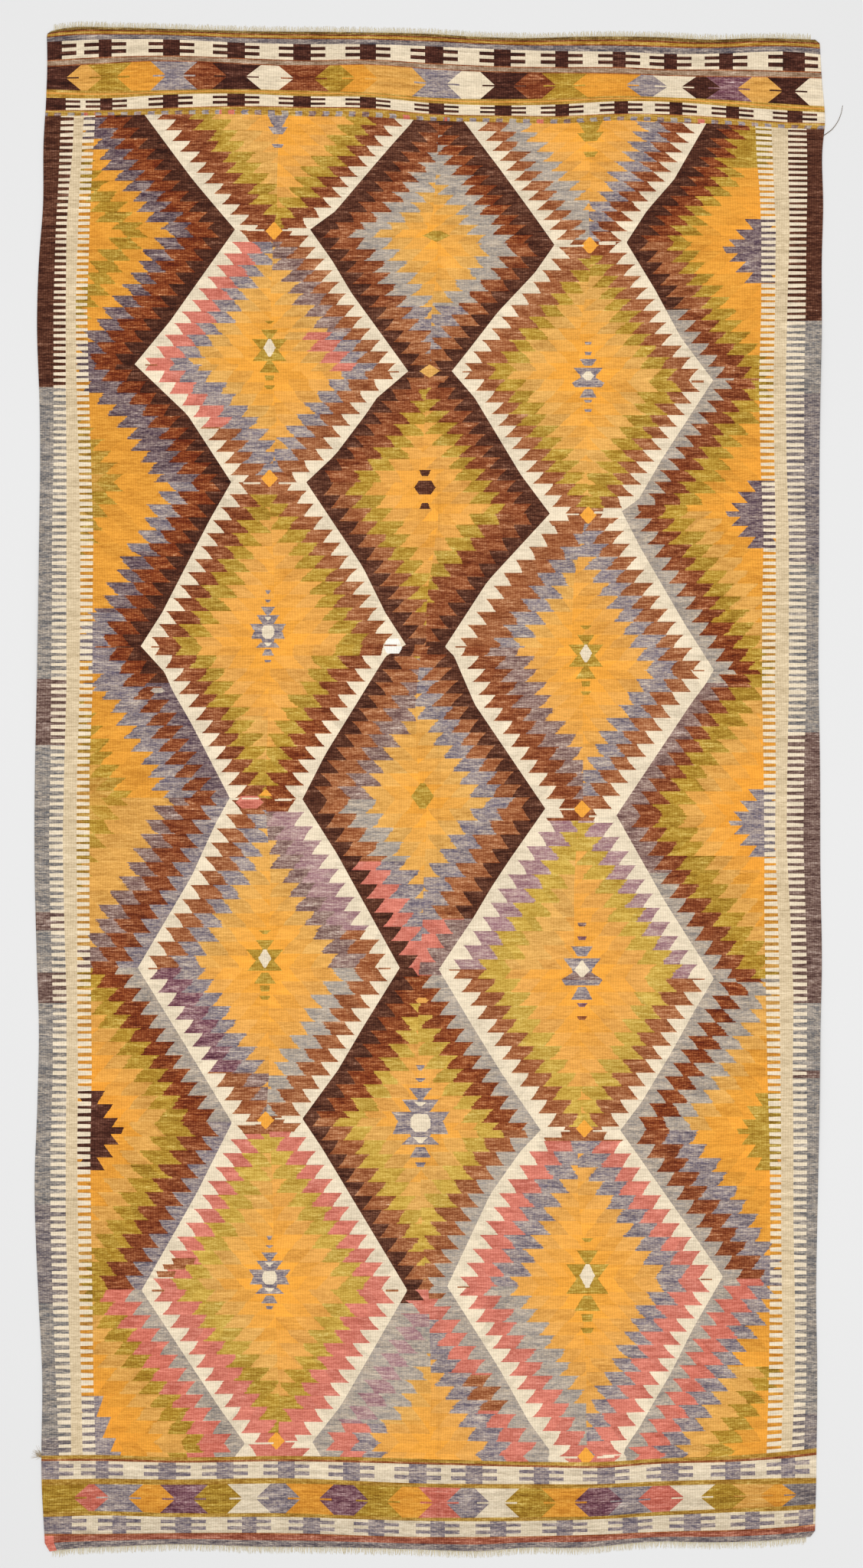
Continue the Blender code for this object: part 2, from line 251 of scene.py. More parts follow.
# The stepped rings of each flank. Each row: the v where it begins, and the rings from the zigzag inwards, each
# as its yarn's letter and the mean distance from the zigzag where it ends.
RINGS = {
    "L": (
        (0, "d30 h62 v94 M124 g158 M"), (300, "d26 h60 v87 M117 g147 M"), (476, "d22 h50 v92 M145 g"),
        (630, "d18 h52 b79 M145 g"), (720, "d22 h52 v79 M145 g"), (800, "d23 h50 b93 M132 g"),
        (893, "v24 r49 b106 M132 g"), (903, "v24 r49 b84 M132 g"), (1042, "b22 r57 m84 y140 g"),
        (1264, "l24 h57 g87 y"), (1465, "b20 r55 g89 y120 M"), (1685, "l21 k54 g82 y110 M"),
    ),
    "A left": (
        (0, "i24 r64 g95 y130 o"), (300, "i20 r99 y"), (316, "i20 k48 b72 y"), (476, "i18 k47 b82 y"),
        (558, "i18 n47 b82 o"), (630, "i18 n99 o"), (646, "i18 r48 g75 o"), (844, "i19 r47 g75 o"),
        (935, "i19 r47 g75 y105 o"), (1042, "i18 r99 o"), (1058, "i18 n45 b73 y"), (1264, "i20 p52 b77 o"),
        (1400, "i20 n52 m77 o"), (1466, "i20 n99 o"), (1481, "i20 k45 f75 y"), (1685, "i18 k54 f90 y"),
        (1780, "i18 k54 g90 y"), (1885, "i18 k99 o"),
    ),
    "A right": (
        (0, "i20 r50 g80 o"), (300, "i20 r99 y"), (316, "i20 n46 m74 y"), (434, "i20 n46 b68 k96 y"),
        (485, "i21 n53 b81 o"), (630, "i20 n99 o"), (646, "i20 n50 g77 o"), (842, "i20 r52 g84 o"),
        (940, "i20 h52 g84 o"), (1044, "i20 h99 o"), (1060, "i22 j58 m83 y"), (1215, "i20 n50 m80 y"),
        (1264, "i18 n50 l80 o"), (1461, "i18 n99 o"), (1478, "i22 k49 f80 o"), (1685, "i20 k58 f90 o"),
        (1780, "i20 k58 g90 o"), (1883, "i20 k99 o"),
    ),
    "B left": (
        (0, "d32 r64 l98 y"), (300, "d22 r56 l90 y"), (400, "d20 n55 b86 y"), (500, "d20 r57 g87 o"),
        (630, "d23 n51 g78 o"), (860, "d20 n52 m82 y"), (1044, "d20 n50 l82 y"), (1125, "d20 k50 b82 y"),
        (1274, "d24 h57 f84 o"), (1460, "d18 n48 f76 y"), (1684, "d18 k60 y"), (1702, "l22 k60 y"),
        (1716, "l24 j50 l80 y"), (1859, "l22 k54 b80 o"),
    ),
    "B right": (
        (0, "d32 h57 l92 y"), (318, "d24 r52 l84 y"), (400, "d22 n50 b82 y"), (500, "d26 r57 g82 o"),
        (671, "d22 r66 g96 o"), (862, "d22 n46 b75 y"), (1056, "d22 n55 b92 y"), (1200, "m24 k55 b92 y"),
        (1274, "l24 h58 f87 o"), (1476, "l20 n50 f80 y"), (1696, "l23 k54 b85 o"), (1795, "l23 n54 b85 o"),
        (1840, "l23 k54 b85 o"),
    ),
    "C left": (
        (0, "i20 n46 l78 o"), (320, "i20 n99 o"), (334, "i21 n56 g80 y"), (485, "i21 n48 g75 y"),
        (671, "i21 n99 y"), (687, "i24 n68 b98 y"), (846, "i22 r57 m92 o"), (1056, "i22 r99 o"),
        (1072, "i23 j55 f90 y130 o"), (1266, "i25 n53 f88 o"), (1476, "i25 n99 o"), (1490, "i23 k57 b90 o"),
        (1680, "i21 k53 l88 o"), (1896, "i21 k99 o"),
    ),
    "C right": (
        (0, "i20 r47 b77 o"), (317, "i20 r99 o"), (334, "i20 n48 g70 y"), (497, "i20 n45 g75 y"),
        (668, "i20 n99 y"), (684, "i23 n51 b80 o"), (875, "i25 n52 b82 o"), (1065, "i25 n99 o"),
        (1072, "i23 j46 f78 o"), (1278, "i18 n48 f78 o"), (1476, "i18 n99 o"), (1490, "i19 k47 b80 o"),
        (1670, "i17 k52 b78 o"), (1896, "i17 k99 o"),
    ),
    "R": (
        (0, "d28 h50 g112 M"), (216, "d26 h56 g81 M"), (317, "d22 n54 g79 M"), (405, "l19 r54 g82 M"),
        (497, "l20 r54 g85 M"), (668, "l23 r55 g83 y112 M"), (806, "l22 h52 g80 y110 M"),
        (892, "m22 r48 g80 y"),
        (1065, "m22 r50 g84 y"), (1140, "l20 r50 g84 y112 M"), (1278, "l23 h51 l80 y110 M"),
        (1476, "l22 r54 b90 M"), (1600, "l20 r54 b88 M"), (1670, "l18 k50 b78 M"),
        (1785, "l18 k50 b78 y112 g140 M"),
    ),
}
CREASE_LINE = 573.0  # u of the line along which the rug was folded, where a narrow band is darkened as painted shade of the crease, with a little soil
RING_SLOTS = 6  # yarns that a face can hold: five rings and the heart
FAR = 9999.0  # a distance that no point of the field reaches
HEART_TWIN = {"o": "z", "y": "z", "M": "z", "g": "y"}  # the yarn that a diamond's heart turns to inwards
HEART_STEP = 26  # chart units from one step of the heart to the next
DEEPER_FLANKS = {"L": 1.08, "R": 1.06}  # the power that deepens the colours of the outermost columns

# Small figures. Each row: top and foot from the figure's middle, half-width at its top and foot, and its yarn,
# where "i" is the ivory inside a figure.
FIGURES = {
    "neck": ((-11, 0, 1, 11, "z"), (0, 11, 11, 1, "z")),
    "patch": ((-5, 0, 6, 10, "b"), (0, 5, 10, 5, "b")),
    "drop": ((-9, -4, 22, 17, "b"), (-4, 2, 13, 9, "b"), (2, 9, 10, 5, "b"), (9, 18, 13, 6, "b"),
             (30, 36, 8, 4, "b")),
    "neck hook": ((0, 2.4, 11, 11, "i"),),
    "corner hook": ((0, 1.8, 8, 8, "n"),),
    "star": (
        (-75, -68, 6, 2, "b"), (-58, -53, 7, 2, "b"), (-45, -30, 15, 3, "b"), (-30, -14, 24, 12, "b"),
        (-14, 0, 38, 28, "b"), (0, 14, 30, 36, "b"), (14, 20, 14, 12, "b"), (20, 30, 16, 26, "b"),
        (32, 46, 6, 14, "b"), (52, 58, 7, 4, "b"),
        (-27, -20, 8, 1, "i"), (-11, -4, 9, 13, "i"), (-4, 6, 13, 13, "i"), (6, 13, 13, 6, "i"),
        (20, 27, 9, 2, "i"),
    ),
    "cross": (
        (-51, -46, 8, 3, "g"), (-35, -18, 14, 3, "g"), (-17, 2, 28, 14, "g"), (2, 22, 14, 28, "g"),
        (24, 44, 5, 17, "g"), (48, 58, 8, 6, "g"), (66, 73, 9, 5, "g"),
        (-18, -2, 2, 10, "i"), (-2, 14, 10, 2, "i"),
    ),
    "bars": (
        (-60, -55, 6, 4, "m"), (-42, -36, 6, 4, "p"), (-29, -16, 14, 6, "b"), (-13, -2, 24, 16, "b"),
        (-2, 6, 14, 12, "b"), (6, 14, 14, 26, "m"), (14, 22, 27, 22, "b"), (24, 41, 5, 14, "b"),
        (45, 50, 7, 4, "p"), (62, 67, 7, 4, "n"),
        (-9, 2, 2, 10, "i"), (2, 11, 10, 2, "i"),
    ),
    "lozenge": ((-17, 0, 3, 15, "g"), (0, 17, 15, 3, "g")),
    "dark hexagon": ((-23, -15, 8, 4, "d"), (-9, 0, 8, 14, "d"), (0, 9, 14, 8, "d"), (20, 28, 4, 7, "d")),
    "half star": (
        (-42, -28, 22, 10, "v"), (-28, -14, 34, 20, "v"), (-14, -4, 42, 32, "v"), (-4, 3, 50, 46, "v"),
        (3, 14, 30, 42, "v"), (14, 28, 20, 34, "v"), (28, 42, 10, 22, "v"),
    ),
    "bar": ((0, 9, 16, 13, "n"),),
    "mend": ((-10, 0, 8, 12, "a"), (0, 9, 12, 7, "a")),
}
# The middles, in u and v, of the figures at the necks of the A and C diamonds.
NECKS = (
    (358, 302), (352, 625), (347, 1042), (347, 1463), (361, 1883),
    (770, 321), (768, 673), (760, 1057), (763, 1474), (765, 1896),
)
# The other figures. Columns: figure, u, v, scale across, scale along, yarn in place of its own or None.
FIGURE_PLACES = (
    ("neck", 561, 485, 1.2, 0.75, "y"), ("cross", 352, 456, 0.8, 0.72, "g"),
    ("star", 350, 825, 0.62, 0.72, "b"), ("cross", 346, 1253, 0.85, 0.72, "g"),
    ("star", 352, 1668, 0.72, 0.72, "b"), ("bars", 768, 490, 0.8, 0.72, "b"),
    ("cross", 765, 855, 0.8, 0.72, "g"), ("bars", 760, 1265, 1, 1, None), ("cross", 767, 1668, 1, 1, "g"),
    ("lozenge", 552, 1040, 1, 1, "g"), ("lozenge", 570, 308, 1.2, 0.4, "g"),
    ("dark hexagon", 555, 637, 1, 1, "d"), ("star", 549, 1466, 1, 1, "b"),
    ("half star", 994, 328, 1, 1, "v"), ("half star", 997, 672, 1, 1.05, "v"),
    ("half star", 998, 1075, 0.95, 1.05, "b"), ("half star", 1004, 1478, 0.85, 1.2, "g"),
    ("half star", 118, 1477, 0.88, 1.25, "D"),
    ("half star", 118, 1908, 0.8, 2.0, "b"), ("mend", 513, 846, 1, 1, "a"), ("patch", 206, 902, 0.9, 0.7, "l"),
    ("patch", 551, 1307, 0.8, 0.8, "o"),
    ("drop", 363, 163, 1, 1, "b"), ("drop", 771, 163, 1.25, 1.15, "g"), ("patch", 326, 1048, 1.8, 1.7, "k"),
    ("bar", 240, 1643, 1, 0.8, "n"), ("bar", 228, 1651, 1, 0.8, "n"), ("bar", 217, 1660, 0.8, 0.9, "n"),
)
HOOK_FROM_TURN = {"A left": 27, "A right": -25, "C left": 27, "C right": -25}  # u of a hook from its turn
CORNER_HOOK_SHARE = 0.8  # of that distance, at the turns that are a wide corner
FIGURE_REACH = 16.0  # how far past its half-width a figure is known to the faces around it
NO_FIGURE = (0.0, -9.0, -9.0)  # middle and half-widths that no point lies inside

# The end bands' combs: (start, end) u of each block.
UPPER_COMB_BLOCKS = (
    (63, 81), (129, 146), (213, 235), (297, 320), (383, 406), (470, 491), (555, 579), (645, 667), (725, 742),
    (800, 817), (867, 884), (939, 957), (1022, 1051),
)
SECOND_COMB_BLOCKS = (
    (63, 86), (131, 147), (213, 233), (297, 320), (383, 406), (470, 491), (560, 580), (646, 668), (725, 743),
    (802, 820), (874, 891), (948, 965), (1028, 1048),
)
LOWER_COMB_BLOCKS = (
    (58, 77), (125, 142), (207, 230), (283, 305), (363, 385), (448, 470), (534, 557), (608, 630), (697, 717),
    (780, 803), (863, 886), (947, 967), (1020, 1038),
)
FOOT_COMB_BLOCKS = (
    (58, 94), (147, 165), (229, 250), (316, 335), (396, 418), (481, 502), (562, 581), (640, 661), (727, 748),
    (813, 833), (893, 915), (973, 992), (1043, 1062),
)
FINGER_LENGTH = 19.0
FINGER_CLEARANCE = 3.0  # between a finger and the middle of its gap, or the selvedge
DASH_YARNS = "bmlbkbmblbmb"  # the yarns of the dashes over the field, in turn
DASH_PITCH = 17.5
COMB_ROWS = (0.0, 0.17, 0.38, 0.58, 0.81, 1.0)  # shares down a comb band; the fingers are the 2nd and 4th rows
# The hexagon bands. Each row: u of a join at mid height, the way its tip points, and the yarn that follows.
UPPER_HEXAGONS = (
    (86, -1, "y"), (134, 1, "g"), (152, -1, "M"), (217, 1, "b"), (238, -1, "r"), (297, 1, "D"), (321, -1, "i"),
    (384, 1, "r"), (410, -1, "g"), (464, 1, "M"), (494, 1, "y"), (558, 1, "b"), (583, -1, "i"), (647, 1, "D"),
    (670, -1, "r"), (727, 1, "g"), (747, -1, "M"), (817, -1, "b"), (872, 1, "i"), (889, -1, "D"), (942, 1, "p"),
    (962, -1, "y"), (1022, 1, "D"), (1037, -1, "i"),
)
LOWER_HEXAGONS = (
    (96, -1, "k"), (143, 1, "b"), (167, -1, "M"), (229, 1, "p"), (252, -1, "g"), (317, 1, "i"), (334, -1, "b"),
    (393, 1, "M"), (416, -1, "p"), (482, 1, "g"), (505, -1, "M"), (566, 1, "k"), (582, -1, "b"), (640, 1, "i"),
    (658, -1, "g"), (727, 1, "M"), (749, -1, "p"), (814, 1, "b"), (832, -1, "k"), (894, 1, "i"), (914, -1, "g"),
    (976, 1, "y"), (992, -1, "M"), (1041, 1, "x"),
)
HEXAGON_ROWS = (0.0, 0.12, 0.25, 0.37, 0.47, 0.53, 0.63, 0.75, 0.88, 1.0)
SLIT_ROW = 4  # the hexagons' row of faces at mid height, where the slits are filled
TIP_LENGTH = 20.0  # how far a join's tip stands past its ends
SLIT_LENGTH, LEAST_SLIT = 17.0, 2.5


def stacked(top, *rows):
    """Bands going down, each from where the last one ends, as (top v, foot v, kind, yarn, what it holds)."""
    tops = [top] + [row[0] for row in rows]
    bands = []
    for start, (foot, yarn, *more) in zip(tops, rows):
        kind, holds = more or ("plain", None)
        bands.append((start, foot, kind, yarn, holds))
    return bands


# Each row: foot v and yarn. A band that isn't plain adds its kind and its blocks or joins, and a plain stripe
# that begins in another yarn at the left selvedge adds "plain" and that yarn.
UPPER_BANDS = stacked(
    44.0, (47.6, "e"), (49.2, "r"), (52.4, "q"), (53.8, "r"), (60.0, "x"),
    (82.0, "D", "comb", UPPER_COMB_BLOCKS),
    (83.4, "n"), (88.8, "t"), (90.0, "n"), (123.0, "D", "hexagons", UPPER_HEXAGONS),
    (125.6, "q"), (127.4, "o"), (131.0, "q"), (147.0, "D", "comb", SECOND_COMB_BLOCKS),
    (148.2, "n"), (152.0, "q"), (158.0, "q", "dashes", None),
)
LOWER_BANDS = stacked(
    1903.0, (1908.0, "q"), (1911.0, "n"), (1934.0, "b", "comb", LOWER_COMB_BLOCKS),
    (1939.0, "q"), (1976.0, "g", "hexagons", LOWER_HEXAGONS),
    (1981.0, "q"), (2004.0, "b", "comb", FOOT_COMB_BLOCKS),
    (2006.0, "n"), (2013.0, "u", "plain", "k"), (2021.0, "x", "plain", "k"),
)

STRIPE_START = 1  # columns of faces that a plain stripe's first yarn fills

# How many columns of faces lie between the field's lines, from the left selvedge to the right one.
COLUMN_SPLIT = (2, 1, 1, 1, 6, 9, 9, 9, 9, 9, 9, 6, 1, 1, 1, 2)
FLANK_OF_BAND = (0, 0, 0, 0, 0, 1, 2, 3, 4, 5, 6, 7, 7, 7, 7, 7)
FLANKS = ("L", "A left", "A right", "B left", "B right", "C left", "C right", "R")
FLANK_ZIGZAG = ("A left", "A left", "A right", "A right", "C left", "C left", "C right", "C right")
# Whether the middle row of a flank's diamonds lies at its zigzag's even turns, counted from 0.
FLANK_MIDDLE_AT_CORNER = (False, True, True, False, False, True, True, False)
MARGIN_KNOTS = (64.0, 45.0, 27.0, 16.0, 0.0)  # selvedge, comb, plain stripe, inner comb, field
ROW_PITCH, ROW_GAP = 9.0, 1.7  # greatest and least height of a row of the field's faces
FIRST_SEED = 40  # of the chances of the rings' courses
FLANK_STEP, STRETCH_STEP = 40, 3  # between the numbers of two flanks, and of two stretches of a flank
UNDYED_WOOL = (0.58, 0.44, 0.29, 1.0)  # linear colour of the flecks in greyed dyes
WORN_FROM, WORN_DEPTH = 1840, 0.0011  # the v where wear at the lower end begins, and its growth with v
# The bake's map: its margin, each chart's width and height, and the chart's left u, foot v and reach.
BAKE_MARGIN, BAKE_WIDTH, BAKE_HEIGHT = 0.02, 0.46, 0.96
BAKE_LEFT_U, BAKE_FOOT_V, BAKE_REACH_U, BAKE_REACH_V = 40, 2035, 1050, 2010
BAKE_RIM_STEP = 0.0008  # width of one belt of the rim on that map
# Loose wool, in metres, and where it leaves the selvedges, as shares along from the lower hem.
TAIL_ALONG, TAIL_LENGTH, TAIL_TWIST = 0.9360, 0.085, 0.0062
TUFT_ALONG, TUFT_FIBRES, TUFT_LENGTH = 0.0625, 26, 0.024
FRINGE_START, FRINGE_END = 0.010, 0.988  # shares across of the outermost warp ends
TUCKED = 0.0008  # how far a warp end begins inside the hem
# The stage.
SKY_STRENGTH, LAMP_SIZE, LAMP_POWER = 0.62, 4.5, 95
SENSOR_WIDTH, CAMERA_REACH = 36.0, 100  # millimetres, metres


# ---------------------------------------------------------------- settings


def dye(name, red, green, blue, words):
    """A colour property from a dye's screen values, 0 to 255."""
    linear = [((c / 255 + 0.055) / 1.055) ** 2.4 if c > 10 else c / 255 / 12.92 for c in (red, green, blue)]
    return bpy.props.FloatVectorProperty(name=name, description=words, subtype="COLOR", size=3, default=linear,
                                         min=0, max=1)


def distance(name, default, words, least=0.0):
    """A length property in metres."""
    return bpy.props.FloatProperty(name=name, description=words, default=default, min=least, unit="LENGTH")


def share_of(name, default, words):
    """A property from 0 to 1."""
    return bpy.props.FloatProperty(name=name, description=words, default=default, min=0, max=1,
                                   subtype="FACTOR")


class KilimDyes(bpy.types.PropertyGroup):
    ivory: dye("Ivory", 229, 212, 184, "Undyed wool of the zigzags and combs")
    cream: dye("Cream", 214, 192, 156, "Undyed wool of the plain side stripes")
    dark_brown: dye("Dark brown", 82, 44, 28, "Darkest wool of the field")
    deep_brown: dye("Deep brown", 76, 39, 27, "Darkest wool of the end bands")
    red_brown: dye("Red-brown", 138, 74, 40, "Madder over brown wool")
    brown: dye("Brown", 156, 94, 56, "Middle brown")
    orange: dye("Orange", 222, 160, 78, "Outer heart of the diamonds")
    bright_orange: dye("Bright orange", 238, 163, 60, "Innermost heart of the diamonds")
    ochre: dye("Ochre", 217, 163, 84, "Paler outer heart of the diamonds")
    green: dye("Olive green", 177, 140, 50, "Olive rings")
    light_green: dye("Light olive", 194, 158, 66, "Olive rings of the lower diamonds")
    marigold: dye("Marigold", 223, 156, 60, "Hearts beside the borders and oranges of the end bands")
    blue_grey: dye("Blue-grey", 123, 114, 127, "Blue-grey rings")
    violet_blue: dye("Violet-blue", 98, 78, 92, "Deeper blue rings")
    mauve_grey: dye("Mauve-grey", 132, 102, 98, "Mauve rings")
    pink: dye("Pink", 206, 118, 100, "Salmon rings")
    purple: dye("Purple", 118, 70, 88, "Purple teeth")
    lilac: dye("Lilac", 161, 121, 129, "Paler purple teeth")
    chestnut: dye("Chestnut", 133, 65, 29, "Deep madder brown")
    white_cotton: dye("White cotton", 240, 236, 226, "A mended place in the ivory")
    pale_grey: dye("Pale grey", 156, 148, 142, "Palest rings")
    guard_grey: dye("Guard grey", 116, 115, 117, "Guard stripes")
    guard_mauve: dye("Guard mauve", 106, 80, 74, "Guard stripes' mauve lengths")
    guard_violet: dye("Guard violet", 104, 97, 104, "Guard stripes' violet lengths")
    straw: dye("Straw", 182, 142, 62, "Lines of the end bands")
    olive_brown: dye("Olive-brown", 128, 100, 48, "First line at the upper hem")
    rust: dye("Rust", 156, 92, 70, "Last line at the lower hem")
    fawn: dye("Fawn", 160, 132, 108, "Line under the upper comb")


class KilimCloth(bpy.types.PropertyGroup):
    flat_width: distance("Flat width", 1.68, "Width of the cloth laid flat", 0.1)
    flat_length: distance("Flat length", 3.27, "Length of the cloth laid flat", 0.1)
    thickness: distance("Thickness", 0.003, "Cloth thickness", 0.001)
    edge_clearance: distance("Edge clearance", 0.0002, "How far the cloth stays inside its outline")
    warp_pitch: distance("Warp pitch", 0.0052, "Distance between the ribs over the warps", 0.0005)
    weft_pitch: distance("Weft pitch", 0.0015, "Height of one packed weft", 0.0003)
    tooth_length: distance("Tooth length", 0.041, "Length of the teeth between two rings")
    outer_tooth_length: distance("Outer tooth length", 0.040, "Length of the teeth of the outermost ring")
    heather: share_of("Heather", 0.50, "Strength of the streaks in the yarn")
    roughness: share_of("Roughness", 0.92, "Roughness of the wool")


class KilimEnds(bpy.types.PropertyGroup):
    count: bpy.props.IntProperty(
        name="Warp ends", description="Cut warp ends at each hem", default=1150, min=10)
    upper_length: distance("Upper length", 0.0135, "Longest warp ends at the upper hem")
    lower_length: distance("Lower length", 0.0165, "Longest warp ends at the lower hem")
    radius: distance("Radius", 0.00055, "Radius of a warp end at its root")
    colour: dye("Warp wool", 226, 212, 176, "Undyed warp wool")
    tail_colour: dye("Grey yarn", 128, 112, 96, "The loose end at the right selvedge")
    tuft_colour: dye("Tan yarn", 172, 148, 108, "The frayed end at the left selvedge")


class KilimStage(bpy.types.PropertyGroup):
    floor_size: distance("Floor", 30.0, "Side of the floor")
    floor_colour: dye("Floor colour", 224, 224, 224, "Pale floor")
    camera_height: distance("Camera height", 8.0, "Camera above the rug")
    light: bpy.props.FloatProperty(name="Light", description="Strength of the soft light", default=1.0, min=0)


# ---------------------------------------------------------------- shader tools


def maths(operation, flipped=False):
    """A method that adds one Math node. The wire is its first value, or its last where flipped."""

    def method(self, *others):
        values = (*others, self) if flipped else (self, *others)
        return self.net.node("ShaderNodeMath", {"operation": operation}, dict(enumerate(values)))

    return method


class Wire:
    """A shader socket that can be used in Python expressions: each operator adds its Math node."""

    def __init__(self, net, socket):
        self.net, self.socket = net, socket

    __add__ = __radd__ = maths("ADD")
    __mul__ = __rmul__ = maths("MULTIPLY")
    __sub__ = maths("SUBTRACT")
    __rsub__ = maths("SUBTRACT", flipped=True)
    __truediv__ = maths("DIVIDE")
    __gt__ = maths("GREATER_THAN")
    __lt__ = maths("LESS_THAN")
    __abs__ = maths("ABSOLUTE")
    floor = maths("FLOOR")
    sine = maths("SINE")
    power = maths("POWER")

    def clamp(self):
        return self.net.node("ShaderNodeClamp", None, {0: self})


class Net:
    """The node tree of a new material, with one method that adds any node."""

    def __init__(self, name):
        self.material = bpy.data.materials.new(name)
        self.material.use_nodes = True
        self.tree = self.material.node_tree
        self.shader = self.tree.nodes["Principled BSDF"]

    def node(self, kind, settings=None, values=None, output=0):
        """Adds a node: its settings first, then the values or links of its sockets. Returns one output."""
        made = self.tree.nodes.new(kind)
        for key, value in (settings or {}).items():
            setattr(made, key, value)
        for key, value in (values or {}).items():
            self.feed(made.inputs[key], value)
        return Wire(self, made.outputs[output])

    def feed(self, socket, value):
        if isinstance(value, Wire):
            self.tree.links.new(value.socket, socket)
        else:
            socket.default_value = value

    def finish(self, **values):
        """Sets or links the Principled shader's sockets, named with _ for a space."""
        for key, value in values.items():
            self.feed(self.shader.inputs[key.replace("_", " ")], value)
        return self.material

    def vector(self, x=0.0, y=0.0, z=0.0):
        return self.node("ShaderNodeCombineXYZ", None, {0: x, 1: y, 2: z})

    def parts(self, wire):
        split = self.node("ShaderNodeSeparateXYZ", None, {0: wire}).socket.node
        return [Wire(self, output) for output in split.outputs]

    def attribute(self, name, output="Vector"):
        return self.node("ShaderNodeAttribute", {"attribute_name": name}, None, output)

    def mix(self, factor, first, second):
        return self.node("ShaderNodeMix", {"data_type": "RGBA"}, {0: factor, 6: first, 7: second}, 2)

    def deepen(self, colour, exponent):
        """Raises each channel to a power, as a longer way through the same dye does."""
        return self.vector(*(part.power(exponent) for part in self.parts(colour)))

    def scale(self, colour, factor):
        return self.node("ShaderNodeVectorMath", {"operation": "SCALE"}, {0: colour, 3: factor})

    def chance(self, x, y=0.0, z=0.0):
        """A value from 0 to 1 that is fixed for each whole-numbered place."""
        place_of = {"Vector": self.vector(x, y, z)}
        return self.node("ShaderNodeTexWhiteNoise", {"noise_dimensions": "3D"}, place_of)

    def cloud(self, place, scale=1.0, detail=2.0):
        return self.node("ShaderNodeTexNoise", None, {"Vector": place, "Scale": scale, "Detail": detail})


# ---------------------------------------------------------------- the cloth's shape


def smooth_between(table, column, at):
    """Reads a table's column at given shares by a cubic through its rows, with slopes from their neighbours."""
    at = np.asarray(at, float)
    shares, values = table[:, 0], table[:, column]
    slopes = np.gradient(values, shares)
    row = np.clip(np.searchsorted(shares, at, side="right") - 1, 0, len(shares) - 2)
    step = shares[row + 1] - shares[row]
    t = (at - shares[row]) / step
    start = values[row] * (2 * t**3 - 3 * t**2 + 1) + values[row + 1] * (3 * t**2 - 2 * t**3)
    return start + step * (slopes[row] * (t**3 - 2 * t**2 + t) + slopes[row + 1] * (t**3 - t**2))


def place(across, along):
    """X and Y in the part's own axes at a share across and a share along."""
    left = smooth_between(SELVEDGES, 1, along)
    right = smooth_between(SELVEDGES, 2, along)
    lower = smooth_between(HEMS, 1, across)
    upper = smooth_between(HEMS, 2, across)
    return left + (right - left) * across, lower + (upper - lower) * along


def lift(x, y, across, along):
    """Height of the underside over the floor: a tent along the crease, and domes for the swells."""
    width = SELVEDGES[0, 2] - SELVEDGES[0, 1]
    length = HEMS[0, 2] - HEMS[0, 1]
    from_crease = np.abs(across - CREASE_ACROSS) * width / CREASE_HALF_WIDTH
    from_hem = np.minimum(along, 1 - along) * length / CREASE_FADE
    height = CREASE_HEIGHT * np.clip(1 - from_crease, 0, 1) * np.clip(from_hem, 0, 1)
    for centre_x, centre_y, half_x, half_y, top in SWELLS:
        reach = ((x - centre_x) / half_x) ** 2 + ((y - centre_y) / half_y) ** 2
        height = height + top * np.clip(1 - reach, 0, 1) ** 2
    return height


def part_shift():
    """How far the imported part's axes lie from the ones its outline is written in: the middle of the cloth's
    box in the frame, less the outline's middle."""
    lowest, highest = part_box("kilim")
    shares = np.linspace(0, 1, OUTLINE_ROWS)
    left, right = place(0.0, shares)[0], place(1.0, shares)[0]
    shift_x = (lowest.x + highest.x) / 2 - (left.min() + right.max()) / 2
    across = np.linspace(0, 1, OUTLINE_COLUMNS)
    lower, upper = place(across, 0.0)[1], place(across, 1.0)[1]
    shift_y = (lowest.y + highest.y) / 2 - (lower.min() + upper.max()) / 2
    return np.array([shift_x, shift_y])


def chart_x(u):
    return (u - CHART_MIDDLE_U) * CHART


def chart_y(v):
    return (CHART_MIDDLE_V - v) * CHART


def hem_levels(u):
    """The chart's v of the upper and the lower hem at given u: the hems read at the share across of that u."""
    across = np.clip((chart_x(u) - SELVEDGES[0, 1]) / (SELVEDGES[0, 2] - SELVEDGES[0, 1]), 0, 1)
    upper = CHART_MIDDLE_V - smooth_between(HEMS, 2, across) / CHART
    lower = CHART_MIDDLE_V - smooth_between(HEMS, 1, across) / CHART
    return upper, lower


def true_v(u, v):
    """The v on the rug of a straightened v. In an end band it runs in proportion between the band's lines at
    that u. In the field it is shifted by the bend of the field's end, fading out away from it."""
    upper_hem, lower_hem = hem_levels(u)
    upper_u = np.clip(u, *UPPER_LINES[[0, -1], 0])
    lower_u = np.clip(u, *LOWER_LINES[[0, -1], 0])
    upper = [upper_hem] + [smooth_between(UPPER_LINES, k, upper_u) for k in range(1, 8)]
    lower = [smooth_between(LOWER_LINES, k, lower_u) for k in range(1, 8)] + [lower_hem]
    fade_down = np.clip(1 - (v - FIELD_TOP) / WAVE_FADE, 0, 1) ** 1.5
    fade_up = np.clip(1 - (FIELD_FOOT - v) / WAVE_FADE, 0, 1) ** 1.5
    result = v + (upper[-1] - FIELD_TOP) * fade_down + (lower[0] - FIELD_FOOT) * fade_up
    for levels, lines in ((UPPER_LEVELS, upper), (LOWER_LEVELS, lower)):
        for k in range(7):
            share = (v - levels[k]) / (levels[k + 1] - levels[k])
            inside = (v >= levels[k]) & (v <= levels[k + 1])
            result = np.where(inside, lines[k] + share * (lines[k + 1] - lines[k]), result)
    return result


def straight_points(name):
    """A zigzag's points with their v straightened, as arrays of u and v."""
    u, v = np.array(ZIGZAGS[name], float).T
    in_field = (v > FIELD_TOP - NEAR_FIELD) & (v < FIELD_FOOT + NEAR_FIELD)
    bend = np.where(in_field, true_v(u, v) - v, 0)
    return u, np.clip(v - bend, FIELD_TOP - PAST_FIELD, FIELD_FOOT + PAST_FIELD)


